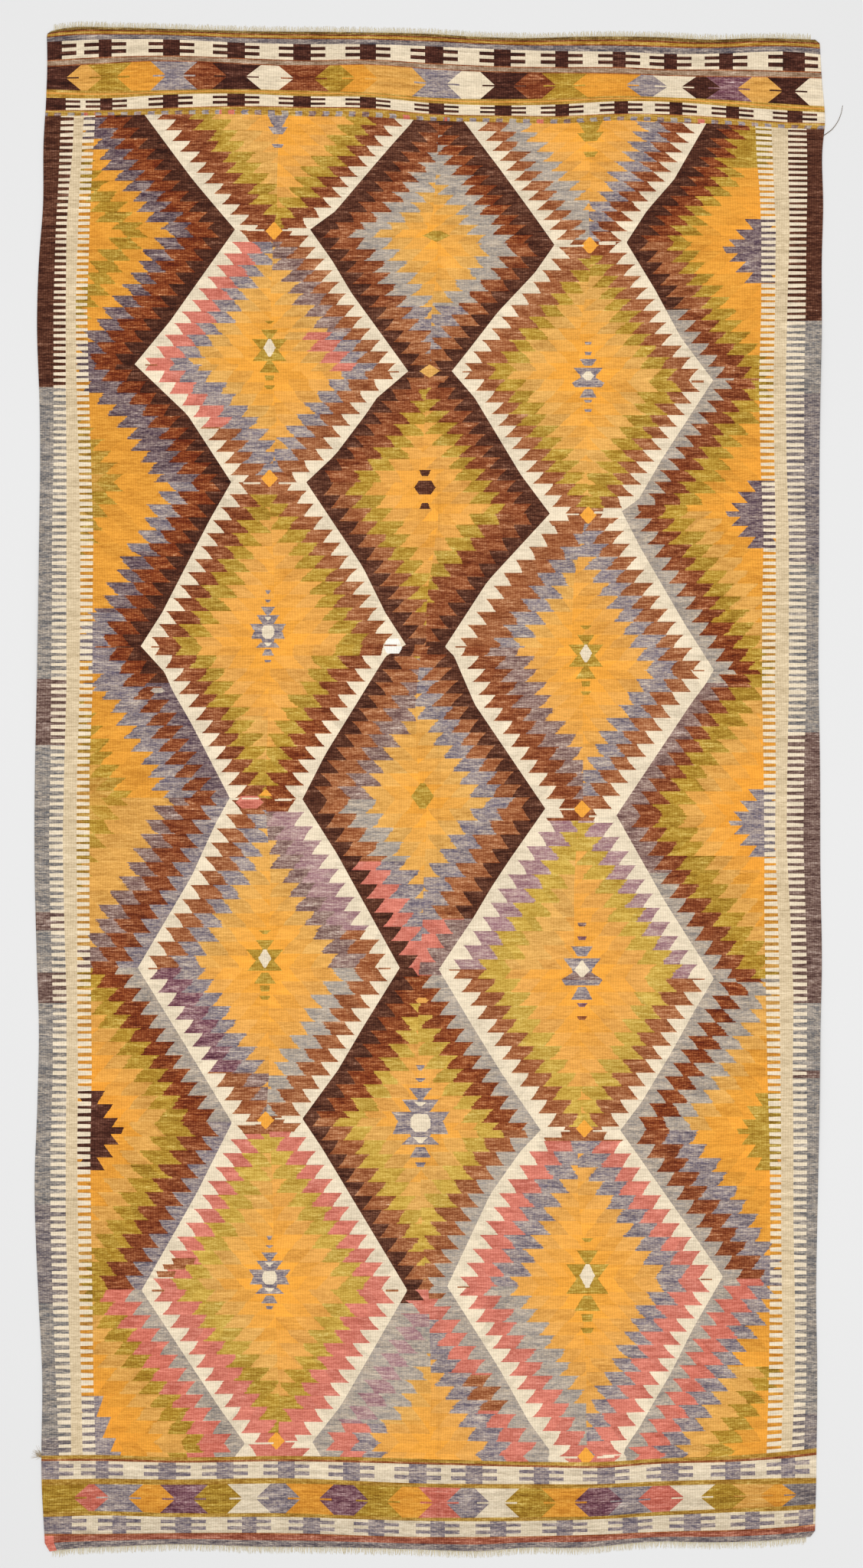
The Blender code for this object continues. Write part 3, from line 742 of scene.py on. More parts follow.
def share_out(knots, guide):
    """Splits the gaps between knots so that each knot gets the column that lies nearest to it in a guide row,
    with at least one column in each gap."""
    order = np.arange(len(knots))
    nearest = np.round(np.interp(knots, guide, np.arange(len(guide))))
    nearest = np.clip(np.maximum.accumulate(nearest - order), 0, len(guide) - len(knots)) + order
    return np.diff(nearest).astype(int)


def between(knots, split):
    """Columns on each row: every gap between two knots is cut into its number of equal parts."""
    gap = np.repeat(np.arange(len(split)), split)
    step = np.arange(len(gap)) - np.repeat(np.cumsum(split) - split, split)
    share = step / split[gap]
    inner = knots[:, gap] + (knots[:, gap + 1] - knots[:, gap]) * share
    return np.concatenate([inner, knots[:, -1:]], axis=1)


def selvedge_u(v):
    """The chart's u of both selvedges at a straightened v."""
    along = np.clip((chart_y(v) - HEMS[0, 1]) / (HEMS[0, 2] - HEMS[0, 1]), 0, 1)
    left, right = smooth_between(SELVEDGES, 1, along), smooth_between(SELVEDGES, 2, along)
    return left / CHART + CHART_MIDDLE_U, right / CHART + CHART_MIDDLE_U


def figure_places():
    """All small figures: the ones listed, and a hook in the ivory at each turn of each zigzag."""
    places = [("neck", u, v, 1, 1, None) for u, v in NECKS] + list(FIGURE_PLACES)
    for name, turns in TURNS.items():
        u, v = straight_points(name)
        for number, turn in enumerate(turns[1:-1]):
            kind = "corner hook" if number % 2 else "neck hook"
            reach = HOOK_FROM_TURN[name] * (CORNER_HOOK_SHARE if number % 2 else 1.0)
            places.append((kind, float(np.interp(turn, v, u)) + reach, turn, 1, 1, None))
    return places


def field_rows():
    """Straightened v of the field's rows: every turn of a zigzag and every edge of a small figure has one,
    and wider gaps are filled evenly."""
    turns = {v for name in TURNS for v in TURNS[name]} | {row[0] for rows in RINGS.values() for row in rows}
    turns = {v for v in turns if FIELD_TOP < v < FIELD_FOOT}
    edges = {y + part[k] * tall for kind, _, y, _, tall, _ in figure_places() for part in FIGURES[kind]
             for k in (0, 1)}
    edges = {v for v in edges if FIELD_TOP < v < FIELD_FOOT}
    kept = [float(FIELD_TOP)]
    for v, is_turn in sorted([(v, True) for v in turns] + [(v, False) for v in edges]):
        if v - kept[-1] >= ROW_GAP and FIELD_FOOT - v >= ROW_GAP:
            kept.append(v)
        elif is_turn and len(kept) > 1 and kept[-1] not in turns:
            kept[-1] = v
    kept = np.array(kept + [float(FIELD_FOOT)])
    gaps = np.diff(kept)
    split = np.ceil(gaps / ROW_PITCH).astype(int)
    return between(kept[None, :], split)[0]


def field_knots(rows):
    """The u of the field's lines on each row: selvedges, border lines, zigzags and the lines midway between."""
    left, right = selvedge_u(rows)
    side = [np.interp(rows, SIDES[:, 0], SIDES[:, k]) for k in range(1, 9)]
    al, ar, cl, cr = (np.interp(rows, *straight_points(name)[::-1]) for name in ZIGZAGS)
    knots = [left, *side[:4], al, (al + ar) / 2, ar, (ar + cl) / 2, cl, (cl + cr) / 2, cr, *side[4:], right]
    return np.stack(knots, axis=1)


def band_layout(band, guide):
    """Rows, columns and face yarns of one end band.

    Rows are shares of the band's height. A comb's knots are the ends of its blocks and fingers, the same on
    every row. A hexagon band's knots are its joins, each leaning by its tip's length from mid height to the
    edges, and the ends of the slits inside the tips. The yarn of a face follows from the gap it lies in."""
    top, foot, kind, yarn, joins = band
    if kind == "comb":
        shares = np.array(COMB_ROWS)
        rows = top + (foot - top) * shares
        left, right = selvedge_u(rows)
        blocks = np.array(joins, float)
        middle = (blocks[:-1, 1] + blocks[1:, 0]) / 2
        reach_right = np.minimum(blocks[:-1, 1] + FINGER_LENGTH, middle - FINGER_CLEARANCE)
        reach_left = np.maximum(blocks[1:, 0] - FINGER_LENGTH, middle + FINGER_CLEARANCE)
        inner = np.stack([blocks[:-1, 1], reach_right, reach_left, blocks[1:, 0]], axis=1).ravel()
        last, room = blocks[-1, 1], right.min() - FINGER_CLEARANCE
        ends = [last, min(last + FINGER_LENGTH, room)] if room - last > FINGER_CLEARANCE else [last]
        knots = np.tile(np.concatenate([[0], inner, ends, [0]]), (len(rows), 1))
        knots[:, 0], knots[:, -1] = left, right
        marks = ["block"] + ["finger", "ground", "finger", "block"] * (len(blocks) - 1)
        marks += ["finger", "ground"] if len(ends) == 2 else ["ground"]
        split = share_out(knots[0], guide)
        marks = np.repeat(marks, split)
        fingers = np.isin(np.arange(len(rows) - 1), (1, 3))[:, None]
        yarns = np.where((marks == "block") | ((marks == "finger") & fingers), yarn, "i")
    elif kind == "hexagons":
        shares = np.array(HEXAGON_ROWS)
        rows = top + (foot - top) * shares
        left, right = selvedge_u(rows)
        joint, way, following = (np.array(column) for column in zip(*joins))
        slope = 1 - np.abs(2 * shares[:, None] - 1)
        at = joint - way * TIP_LENGTH * (1 - slope)
        slit = at - way * np.maximum(SLIT_LENGTH * slope, LEAST_SLIT)
        pairs = np.sort(np.stack([at, slit], axis=2), axis=2).reshape(len(rows), -1)
        knots = np.maximum.accumulate(np.concatenate([left[:, None], pairs, right[:, None]], axis=1), axis=1)
        order = [yarn, *following]
        marks, slits = [], []
        for k, turn in enumerate(way):
            marks += [order[k], order[k + 1] if turn < 0 else order[k]]
            slits += [order[k], order[k] if turn < 0 else order[k + 1]]
        marks.append(order[-1])
        slits.append(order[-1])
        split = share_out(knots[len(rows) // 2], guide)
        marks, slits = np.repeat(marks, split), np.repeat(slits, split)
        middle = (np.arange(len(rows) - 1) == SLIT_ROW)[:, None]
        yarns = np.where(middle, slits, marks)
    return rows, between(knots, split), yarns


def cloth_grid():
    """Every row and column of the cloth in the chart: u and straightened v of each point, the yarn letter of
    each end-band face, and which rows of faces are field.

    Each band begins on the last row of the one before. Combs, hexagons and the field have columns of their
    own; the rows of the plain stripes between them lead evenly from one set of columns to the next."""
    columns = sum(COLUMN_SPLIT)
    field_v = field_rows()
    field_u = between(field_knots(field_v), np.array(COLUMN_SPLIT))

    def section(band, end):
        top, foot, kind, yarn, first = band
        if kind in ("comb", "hexagons"):
            return band_layout(band, field_u[end])
        yarns = np.full((1, columns), yarn)
        yarns[0, :STRIPE_START] = first or yarn
        if kind == "dashes":
            return np.array([top, foot]), field_u[[0, 0]], yarns
        return np.array([top, foot]), None, yarns

    sections = [section(band, 0) for band in UPPER_BANDS]
    sections.append((field_v, field_u, np.full((len(field_v) - 1, columns), "i")))
    sections += [section(band, -1) for band in LOWER_BANDS]
    v = np.concatenate([sections[0][0][:1]] + [rows[1:] for rows, _, _ in sections])
    u = np.full((len(v), columns + 1), np.nan)
    first = 0
    for rows, grid, _ in sections:
        if grid is not None:
            u[first:first + len(rows)] = grid
        first += len(rows) - 1
    known = np.flatnonzero(~np.isnan(u[:, 0]))
    at = np.clip(np.arange(len(v)), known[0], known[-1])
    after = np.clip(np.searchsorted(known, at), 1, len(known) - 1)
    low, high = known[after - 1], known[after]
    share = ((at - low) / (high - low))[:, None]
    u = u[low] * (1 - share) + u[high] * share
    left, right = selvedge_u(v)
    u = left[:, None] + (u - u[:, :1]) * ((right - left) / (u[:, -1] - u[:, 0]))[:, None]
    yarns = np.concatenate([letters for _, _, letters in sections])
    middle = (v[:-1] + v[1:]) / 2
    is_field = (middle > FIELD_TOP) & (middle < FIELD_FOOT)
    return u, np.repeat(v[:, None], columns + 1, axis=1), yarns, is_field


def put_in_scene(name, data):
    """Makes an object of a mesh, a lamp or a camera and links it."""
    made = bpy.data.objects.new(name, data)
    bpy.context.scene.collection.objects.link(made)
    return made


class EditableMesh:
    """Collects the arrays of a mesh and puts them into Blender with foreach_set."""

    def __init__(self, name, points, quads):
        self.mesh = bpy.data.meshes.new(name)
        self.mesh.vertices.add(len(points))
        self.fill(self.mesh.vertices, "co", points)
        self.mesh.loops.add(quads.size)
        self.fill(self.mesh.loops, "vertex_index", quads, np.int32)
        self.mesh.polygons.add(len(quads))
        self.fill(self.mesh.polygons, "loop_start", np.arange(0, quads.size, quads.shape[1]), np.int32)
        self.fill(self.mesh.polygons, "use_smooth", np.ones(len(quads)), bool)
        self.mesh.update(calc_edges=True)

    def fill(self, items, key, values, kind=np.float32):
        items.foreach_set(key, np.ascontiguousarray(values, kind).ravel())

    def attribute(self, name, kind, domain, values):
        key = {"FLOAT": "value", "FLOAT_VECTOR": "vector"}[kind]
        self.fill(self.mesh.attributes.new(name, kind, domain).data, key, values)

    def uv(self, name, values):
        self.fill(self.mesh.uv_layers.new(name=name).data, "uv", values)

    def link(self, name, materials, slots=None):
        for material in materials:
            self.mesh.materials.append(material)
        if slots is not None:
            self.fill(self.mesh.polygons, "material_index", slots, np.int32)
        return put_in_scene(name, self.mesh)


def dye_table(dyes):
    """Each yarn letter's linear colour, in the order of YARNS."""
    return np.array([tuple(getattr(dyes, name)) for name in YARNS.values()])


def yarn_numbers(letters):
    """Indexes of yarn letters in the order of YARNS."""
    keys = list(YARNS)
    lookup = np.zeros(128, int)
    lookup[[ord(key) for key in keys]] = np.arange(len(keys))
    codes = np.asarray(letters).astype("U1")
    return lookup[codes.view(np.uint32).reshape(codes.shape)]


def ring_values(dyes):
    """The rings of every flank as arrays with one row for each row of RINGS: where it begins, its yarns'
    colours, the distances at which they end and the heart's second colour. The last yarn always fills the last
    slot."""
    table = {}
    colours = dye_table(dyes)
    keys = list(YARNS)
    for flank, rows in RINGS.items():
        starts, dyed, limits, twins = [], [], [], []
        depth = DEEPER_FLANKS.get(flank, 1.0)
        for start, words in rows:
            rings = [(word[0], float(word[1:] or FAR)) for word in words.split()]
            if rings[-1][1] < FAR:
                rings.append((rings[-1][0], FAR))
            letters = [letter for letter, _ in rings]
            ends = [limit for _, limit in rings[:-1]]
            pad = RING_SLOTS - len(letters)
            slots = letters[:-1] + [letters[-1]] * (pad + 1)
            ends = ends[:-1] + [FAR] * pad + [ends[-1]]
            starts.append(start)
            limits.append(ends)
            dyed.append([colours[keys.index(letter)] ** depth for letter in slots])
            twins.append(colours[keys.index(HEART_TWIN.get(letters[-1], letters[-1]))] ** depth)
        table[flank] = [np.array(values, float) for values in (starts, dyed, limits, twins)]
    return table


def figure_faces(u_mid, v_rows, dyes):
    """The small figures on the grid's faces. A face in reach of a part of a figure holds the part's middle u
    and its half-widths at the face's top and foot. Returns those and the colour for two layers: the figure
    and the ivory inside it."""
    rows, columns = u_mid.shape
    spans = [np.tile(NO_FIGURE, (rows, columns, 1)) for _ in range(2)]
    tints = [np.zeros((rows, columns, 3)) for _ in range(2)]
    colours, keys = dye_table(dyes), list(YARNS)
    top, foot = v_rows[:-1], v_rows[1:]
    middle = (top + foot) / 2
    for kind, centre, level, wide, tall, own in figure_places():
        for start, end, half_top, half_foot, letter in FIGURES[kind]:
            v0, v1 = level + start * tall, level + end * tall
            layer = 1 if letter == "i" else 0
            letter = own if own and letter != "i" else letter
            down = np.flatnonzero((middle >= v0) & (middle < v1))
            reach = max(half_top, half_foot) * wide + FIGURE_REACH
            inside = np.zeros((rows, columns), bool)
            inside[down] = np.abs(u_mid[down] - centre) < reach
            slope = (half_foot - half_top) * wide / (v1 - v0)
            width_top = half_top * wide + slope * (top - v0)
            width_foot = half_top * wide + slope * (foot - v0)
            values = np.stack(np.broadcast_arrays(centre, width_top[:, None], width_foot[:, None]), axis=-1)
            values = np.broadcast_to(values, spans[0].shape)
            spans[layer][inside] = values[inside]
            tints[layer][inside] = colours[keys.index(letter)]
    return spans, tints


def guard_numbers(rows_middle, table):
    """The yarn of a guard stripe at each row of faces."""
    starts, letters = (np.array(column) for column in zip(*table))
    return yarn_numbers(letters[np.searchsorted(starts, rows_middle, side="right") - 1])


def make_cloth(settings, dyes):
    """The woven cloth: the chart's grid laid on the part's outline, once as the top and once as the underside,
    joined round the edge by a half-round rim."""
    shift = part_shift()
    u, v, letters, is_field = cloth_grid()
    count_rows, count_columns = u.shape
    left, right = u[:, :1], u[:, -1:]
    level = v[:, 0]
    true = true_v(u, v)
    y = chart_y(true)
    hem_top, hem_foot = chart_y(true[0]), chart_y(true[-1])
    clear = settings.edge_clearance
    y = np.clip(y, hem_foot + clear, hem_top - clear)
    x = chart_x(u)
    # Rounded corners: a row at distance d from the hem is narrower by r - sqrt(r^2 - (r - d)^2) at each side.
    for side in (0, -1):
        near = np.minimum(hem_top[side] - y[:, side], y[:, side] - hem_foot[side])
        inwards = np.clip(CORNER_RADIUS - near, 0, CORNER_RADIUS)
        pull = CORNER_RADIUS - np.sqrt(CORNER_RADIUS**2 - inwards**2) + clear
        half = (x[:, -1:] - x[:, :1]) / 2
        share = np.abs(x - (x[:, :1] + x[:, -1:]) / 2) / half
        inwards_x = np.where(x < 0, 1, 0) if side == 0 else -np.where(x > 0, 1, 0)
        x = x + inwards_x * pull[:, None] * share**CORNER_PULL
    across = (x - chart_x(left)) / (chart_x(right) - chart_x(left))
    along = (y - HEMS[0, 1]) / (HEMS[0, 2] - HEMS[0, 1])
    low = lift(x, y, across, np.clip(along, 0, 1))
    thick = settings.thickness

    # The edge loop, anticlockwise from the lower left corner seen from above.
    index = np.arange(u.size).reshape(u.shape)
    loop = np.concatenate([index[-1, :-1], index[::-1, -1][:-1], index[0, ::-1][:-1], index[:, 0][:-1]])
    flat_x, flat_y, flat_low = x.ravel(), y.ravel(), low.ravel()
    edge = np.stack([flat_x[loop], flat_y[loop]], axis=1)
    ahead, behind = np.roll(edge, -1, axis=0), np.roll(edge, 1, axis=0)
    tangent = ahead - behind
    outward = np.stack([tangent[:, 1], -tangent[:, 0]], axis=1)
    outward /= np.linalg.norm(outward, axis=1, keepdims=True) + 1e-12
    pulled = edge - outward * RIM_INSET
    flat_x[loop], flat_y[loop] = pulled[:, 0], pulled[:, 1]
    top = np.stack([flat_x, flat_y, flat_low + thick], axis=1)
    foot = np.stack([flat_x, flat_y, flat_low], axis=1)
    rings = [
        np.column_stack([pulled + outward * (RIM_INSET * np.cos(angle)),
                         flat_low[loop] + thick / 2 * (1 + np.sin(angle))])
        for angle in np.radians(RIM_ANGLES)
    ]
    points = np.concatenate([top, foot] + rings)
    points[:, :2] += shift

    quad = np.stack([index[:-1, :-1], index[1:, :-1], index[1:, 1:], index[:-1, 1:]], axis=-1).reshape(-1, 4)
    under = quad[:, ::-1] + u.size
    base = 2 * u.size
    belts = [loop] + [base + k * len(loop) + np.arange(len(loop)) for k in range(len(rings))] + [loop + u.size]
    walls = [np.stack([a, b, np.roll(b, -1), np.roll(a, -1)], axis=1) for a, b in zip(belts[:-1], belts[1:])]
    quads = np.concatenate([quad, under] + walls)
    cloth = EditableMesh("kilim_cloth", points, quads)

    # What each face shows.
    face_rows, face_columns = count_rows - 1, count_columns - 1
    band_of_column = np.repeat(np.arange(len(COLUMN_SPLIT)), COLUMN_SPLIT)
    flank_of_column = np.array(FLANK_OF_BAND)[band_of_column]
    middle = (level[:-1] + level[1:]) / 2
    table = ring_values(dyes)
    shape = (face_rows, face_columns)
    dyed, limits = np.zeros(shape + (RING_SLOTS, 3)), np.full(shape + (RING_SLOTS - 1,), FAR)
    course, twin = np.zeros(shape + (3,)), np.zeros(shape + (3,))
    for number, flank in enumerate(FLANKS):
        starts, ring_dyes, ends, twins = table[flank]
        row = np.searchsorted(starts, middle, side="right") - 1
        turns = np.array(TURNS[FLANK_ZIGZAG[number]], float)
        turn = np.clip(np.searchsorted(turns, middle, side="right") - 1, 0, len(turns) - 2)
        corner_first = turn % 2 == 0
        if not FLANK_MIDDLE_AT_CORNER[number]:
            corner_first = ~corner_first
        centre = np.where(corner_first, turns[turn], turns[turn + 1])
        columns = np.flatnonzero(flank_of_column == number)
        dyed[:, columns] = ring_dyes[row][:, None]
        limits[:, columns] = ends[row][:, None]
        twin[:, columns] = twins[row][:, None]
        # Some share of a course is already woven at the diamond's middle row, the same above it and below.
        woven = np.random.default_rng(FIRST_SEED + number).choice(WOVEN_SHARES, len(turns))
        woven = woven[np.where(corner_first, turn, turn + 1)]
        pitch = np.array(COURSE_HEIGHTS)[turn] / CHART
        numbered = number * FLANK_STEP + turn * STRETCH_STEP + woven
        course[:, columns] = np.stack([centre, pitch, numbered], axis=1)[:, None]
    u_mid = (u[:-1, :-1] + u[1:, 1:]) / 2
    spans, tints = figure_faces(u_mid, level, dyes)
    colours = dye_table(dyes)
    side_left = band_of_column < len(COLUMN_SPLIT) // 2
    guards = [colours[guard_numbers(middle, stripe)][:, None] for stripe in (GUARD_LEFT, GUARD_RIGHT)]
    guard = np.where(side_left[None, :, None], *guards)
    dashes = [band[0] for band in UPPER_BANDS if band[2] == "dashes"]
    dashed = np.isin(level[:-1], dashes)[:, None]
    dash_letters = np.where(dashed, np.resize(list(DASH_YARNS), face_columns), letters)
    row_span = np.stack([level[:-1], level[1:], np.zeros(face_rows)], axis=1)
    faces = np.arange(face_rows * face_columns).reshape(shape)
    wall_face = np.concatenate([faces[-1], faces[::-1, -1], faces[0, ::-1], faces[:, 0]])

    def spread(values):
        """A face value for the top, the same for the underside, and the neighbour's for the rim."""
        flat = values.reshape(face_rows * face_columns, -1)
        return np.concatenate([flat, flat] + [flat[wall_face]] * len(walls))

    face_values = {f"yarn_{k}": dyed[:, :, k] for k in range(RING_SLOTS)} | {
        "limits_a": limits[:, :, :3],
        "limits_b": np.concatenate([limits[:, :, 3:], np.zeros(shape + (1,))], axis=-1),
        "course": course,
        "twin_yarn": twin,
        "guard_yarn": guard,
        "end_yarn": colours[yarn_numbers(letters)],
        "dash_yarn": colours[yarn_numbers(dash_letters)],
        "row_span": np.repeat(row_span[:, None], face_columns, axis=1),
    }
    for k in range(2):
        face_values |= {f"figure_{k}": spans[k], f"figure_yarn_{k}": tints[k]}
    for name, values in face_values.items():
        cloth.attribute(name, "FLOAT_VECTOR", "FACE", spread(values))
    slots = spread(np.repeat((~is_field)[:, None], face_columns, axis=1).astype(float))[:, 0]

    # What each point knows: distance from the nearest zigzag, place in the side border, count of comb teeth.
    lines = [np.interp(level, *straight_points(name)[::-1])[:, None] for name in ZIGZAGS]
    inset_field = np.minimum.reduce([np.abs(u - line) for line in lines])
    knots = np.cumsum((0,) + COLUMN_SPLIT)
    margin = np.zeros(count_columns)
    margin[:knots[4] + 1] = np.interp(np.arange(knots[4] + 1), knots[:5], MARGIN_KNOTS)
    margin[knots[12]:] = np.interp(np.arange(knots[12], count_columns), knots[12:], MARGIN_KNOTS[::-1])
    share = (level - FIELD_TOP) / (FIELD_FOOT - FIELD_TOP)
    growth = TOOTH_PITCH_FOOT / TOOTH_PITCH_TOP
    pace = TOOTH_PITCH_TOP * (growth - 1)
    teeth = (FIELD_FOOT - FIELD_TOP) * np.log(1 + (growth - 1) * share.clip(0)) / pace
    point_values = {
        "inset": inset_field.ravel(),
        "margin": np.tile(margin, count_rows),
        "teeth": np.repeat(teeth, count_columns),
    }
    for name, values in point_values.items():
        values = np.concatenate([values, values] + [values[loop]] * len(rings))
        cloth.attribute(name, "FLOAT", "POINT", values)

    # The weave's map holds the chart's u and straightened v. The bake's map has the top on its left half and
    # the underside on its right half, with the rim round the top's chart.
    weave = np.stack([u.ravel(), v.ravel()], axis=1) / CHART_SCALE
    weave = np.concatenate([weave, weave] + [weave[loop]] * len(rings))
    cloth.uv("weave", weave[quads.ravel()])
    bake_u = (u.ravel() - BAKE_LEFT_U) / BAKE_REACH_U * BAKE_WIDTH + BAKE_MARGIN
    bake_v = (BAKE_FOOT_V - true.ravel()) / BAKE_REACH_V * BAKE_HEIGHT + BAKE_MARGIN
    chart = np.stack([bake_u, bake_v], axis=1)
    bake = [chart[quad.ravel()], (chart[quad.ravel()] + (0.5, 0.0)).reshape(-1, 4, 2)[:, ::-1].reshape(-1, 2)]
    for k in range(len(walls)):
        a = chart[loop] + outward * BAKE_RIM_STEP * k
        b = chart[loop] + outward * BAKE_RIM_STEP * (k + 1)
        bake.append(np.stack([a, b, np.roll(b, -1, axis=0), np.roll(a, -1, axis=0)], axis=1).reshape(-1, 2))
    cloth.uv("OFBake", np.concatenate(bake))
    return cloth, slots


# ---------------------------------------------------------------- the cloth's wool


def chart_place(net):
    """The chart's u and v from the weave's map."""
    place_uv = net.parts(net.node("ShaderNodeUVMap", {"uv_map": "weave"}))
    return place_uv[0] * CHART_SCALE, place_uv[1] * CHART_SCALE


def wool_finish(net, colour, u, v, settings):
    """Turns a flat dye into woven wool. Streaks and flecks along the weft lighten and darken it, the more so
    the deeper the dye: a shade t multiplies the colour by 1 + a t and raises it to the power 1 - b t. Greyed
    dyes also let flecks of undyed wool through. Packed wefts and the ribs over the warps feed the bump, and
    they also paint a fine grid into the colour: painted shade in the grooves and painted light on the ribs.
    A narrow band along the fold crease is darkened, as painted shade of the crease with a little soil."""
    warp, weft = CHART / settings.warp_pitch, CHART / settings.weft_pitch
    sway = net.cloud(net.vector(u * 0.02, v * 0.012, 17.0)) * 2.5
    rib_at, pick_at = u * warp + sway, v * weft
    rib, packed = (rib_at * math.tau).sine(), (pick_at * math.tau).sine()
    streak = net.cloud(net.vector(u * 0.055, v * 0.5, 3.0), 1.0, 3.0) - 0.5
    fleck = net.cloud(net.vector(u * 0.2, v * 0.62, 7.0), 1.0, 2.0) - 0.5
    patch = net.cloud(net.vector(u * 0.03, v * 0.13, 15.0), 1.0, 2.0) - 0.5
    broad = net.cloud(net.vector(u * 0.011, v * 0.02, 11.0), 1.0, 2.0) - 0.5
    bead = net.chance((rib_at + 0.25).floor(), pick_at.floor(), 4.0) - 0.5
    line = (v / 2.2).floor()
    run = net.chance(line, (u / 30 + net.chance(line, 1.0, 6.0) * 9).floor(), 8.0) - 0.5
    red, _, blue = net.parts(colour)
    greyed = ((blue / red - 0.3) * 2.0).clamp() * ((0.6 - red) * 5.0).clamp() * (red * 4.5).clamp()
    undyed = (fleck * 1.1 + bead * 0.25 + streak * 1.1 + patch * 0.9 + 0.3).clamp()
    colour = net.mix(greyed * undyed, colour, UNDYED_WOOL)
    bright = ((red - 0.5) * 3).clamp()
    lively = (1.18 - red) * (1 - greyed * 0.5) * (1.85 - bright * 0.85) * (0.5 + red * 2.5).clamp()
    lively = lively * settings.heather
    shade = (streak * 2.7 + fleck * 2.3 + patch * 2.0 + bead * 0.35 + run * 0.55) * lively + broad * 0.22
    # Painted shade and painted light: the ribs over the warps and the packed wefts darken and lighten the
    # colour in a fine grid, darker in the grooves between them.
    shade = shade + rib * (0.05 + lively * 0.11) + packed * rib * 0.02
    colour = net.deepen(colour, 1 - shade * (0.5 - bright * 0.35))
    colour = net.scale(colour, 1 + shade * (0.25 + bright * 0.65))
    # Painted shade of the fold crease, with a little soil: a band 10 chart units wide, darkened by up to 9 %.
    crease = (1 - abs(u - CREASE_LINE) / 5).clamp() * 0.09
    colour = net.scale(colour, 1 - crease)
    height = rib * 0.55 + packed * 0.35 + bead * 0.5 + fleck
    normal = net.node("ShaderNodeBump", None, {"Strength": 0.5, "Distance": 0.0006, "Height": height})
    return net.finish(Base_Color=colour, Roughness=settings.roughness, Normal=normal, Specular_IOR_Level=0.15,
                      Sheen_Weight=0.06, Sheen_Roughness=0.6)


def field_wool(settings, dyes):
    """Wool of the field and the side borders.

    A course of teeth is a strip of fixed height counted from the diamond's middle row. With s the share of the
    course that is still to come, ring k ends where the distance from the zigzag passes its limit plus the
    tooth's length times s(1.2 - 0.2 s) less its mean. So each tooth has a level edge and a slanting one that
    bulges a little."""
    net = Net("field_wool")
    u, v = chart_place(net)
    centre, pitch, packed = net.parts(net.attribute("course"))
    number = packed.floor()
    inset = net.attribute("inset", "Fac")
    courses = abs(v - centre) / pitch + (packed - number)
    course = courses.floor()
    left = 1 - (courses - course)
    bulge = left * (1.2 - left * 0.2) - 0.53
    pick = (v * (CHART / settings.weft_pitch)).floor()
    rag = net.chance(pick, number, 5.0) * 2 - 1
    drift = net.cloud(net.vector(u * 0.05, v * 0.09, 21.0)) * 2 - 1
    limits = net.parts(net.attribute("limits_a")) + net.parts(net.attribute("limits_b"))[:2]
    colour = net.attribute("yarn_0")
    ring = None
    for k, limit in enumerate(limits):
        length = (settings.tooth_length if k else settings.outer_tooth_length) / CHART
        wander = (net.chance(course, number, 30.0 + k) * 2 - 1) * (4.0 if k else 1.4)
        loose = rag * (1.3 if k else 0.5) + drift * (5.0 if k else 1.2) + wander
        past = inset > limit + bulge * length + loose
        colour = net.mix(past, colour, net.attribute(f"yarn_{k + 1}"))
        ring = past if ring is None else ring + past
    # The heart of a diamond turns by steps to a brighter yarn inwards.
    last = limits[-1] + bulge * (settings.tooth_length / CHART) + drift * 4
    inner = ((inset - last) / HEART_STEP).floor()
    brighter = (inner * 0.5 + net.chance(inner, course, number) * 0.34 - 0.08).clamp()
    colour = net.mix(past * brighter, colour, net.attribute("twin_yarn"))
    # Each length of yarn has its own depth of colour.
    tone = net.chance(course, number, ring + inner * 0.37)
    colour = net.scale(colour, 0.91 + tone * 0.18)
    # Small figures: a face within reach of one holds the figure's middle and its half-width at top and foot.
    row_top, row_foot, _ = net.parts(net.attribute("row_span"))
    down = (v - row_top) / (row_foot - row_top)
    for k in range(2):
        middle, wide_top, wide_foot = net.parts(net.attribute(f"figure_{k}"))
        wide = wide_top + (wide_foot - wide_top) * down + rag * 0.5
        colour = net.mix(abs(u - middle) < wide, colour, net.attribute(f"figure_yarn_{k}"))
    # Side borders, outwards from the field: a comb in the field's own yarns, a plain stripe, a comb in the
    # guard's yarn, and the guard.
    guard_from, comb_from, plain_from = MARGIN_KNOTS[1:4]
    margin = net.attribute("margin", "Fac")
    teeth = net.attribute("teeth", "Fac") + rag * 0.03
    tooth = teeth - teeth.floor()
    wave = (net.chance(teeth.floor(), number, 9.0) - 0.5) * 0.10
    ivory, cream = tuple(dyes.ivory) + (1.0,), tuple(dyes.cream) + (1.0,)
    inner_gap = abs(tooth - 0.5) > 0.24 - margin / plain_from * 0.04 + wave
    outer_gap = abs(tooth - 0.5) > 0.23 + (margin - comb_from) / (guard_from - comb_from) * 0.05 + wave
    in_comb = (margin > 0.01) * (margin < plain_from)
    past_plain = margin > comb_from
    colour = net.scale(colour, 1 - in_comb * 0.25)
    colour = net.mix(in_comb * inner_gap, colour, ivory)
    colour = net.mix(margin > plain_from, colour, cream)
    colour = net.mix(past_plain, colour, net.attribute("guard_yarn"))
    colour = net.mix(past_plain * (margin < guard_from) * outer_gap, colour, ivory)
    return wool_finish(net, colour, u, v, settings)


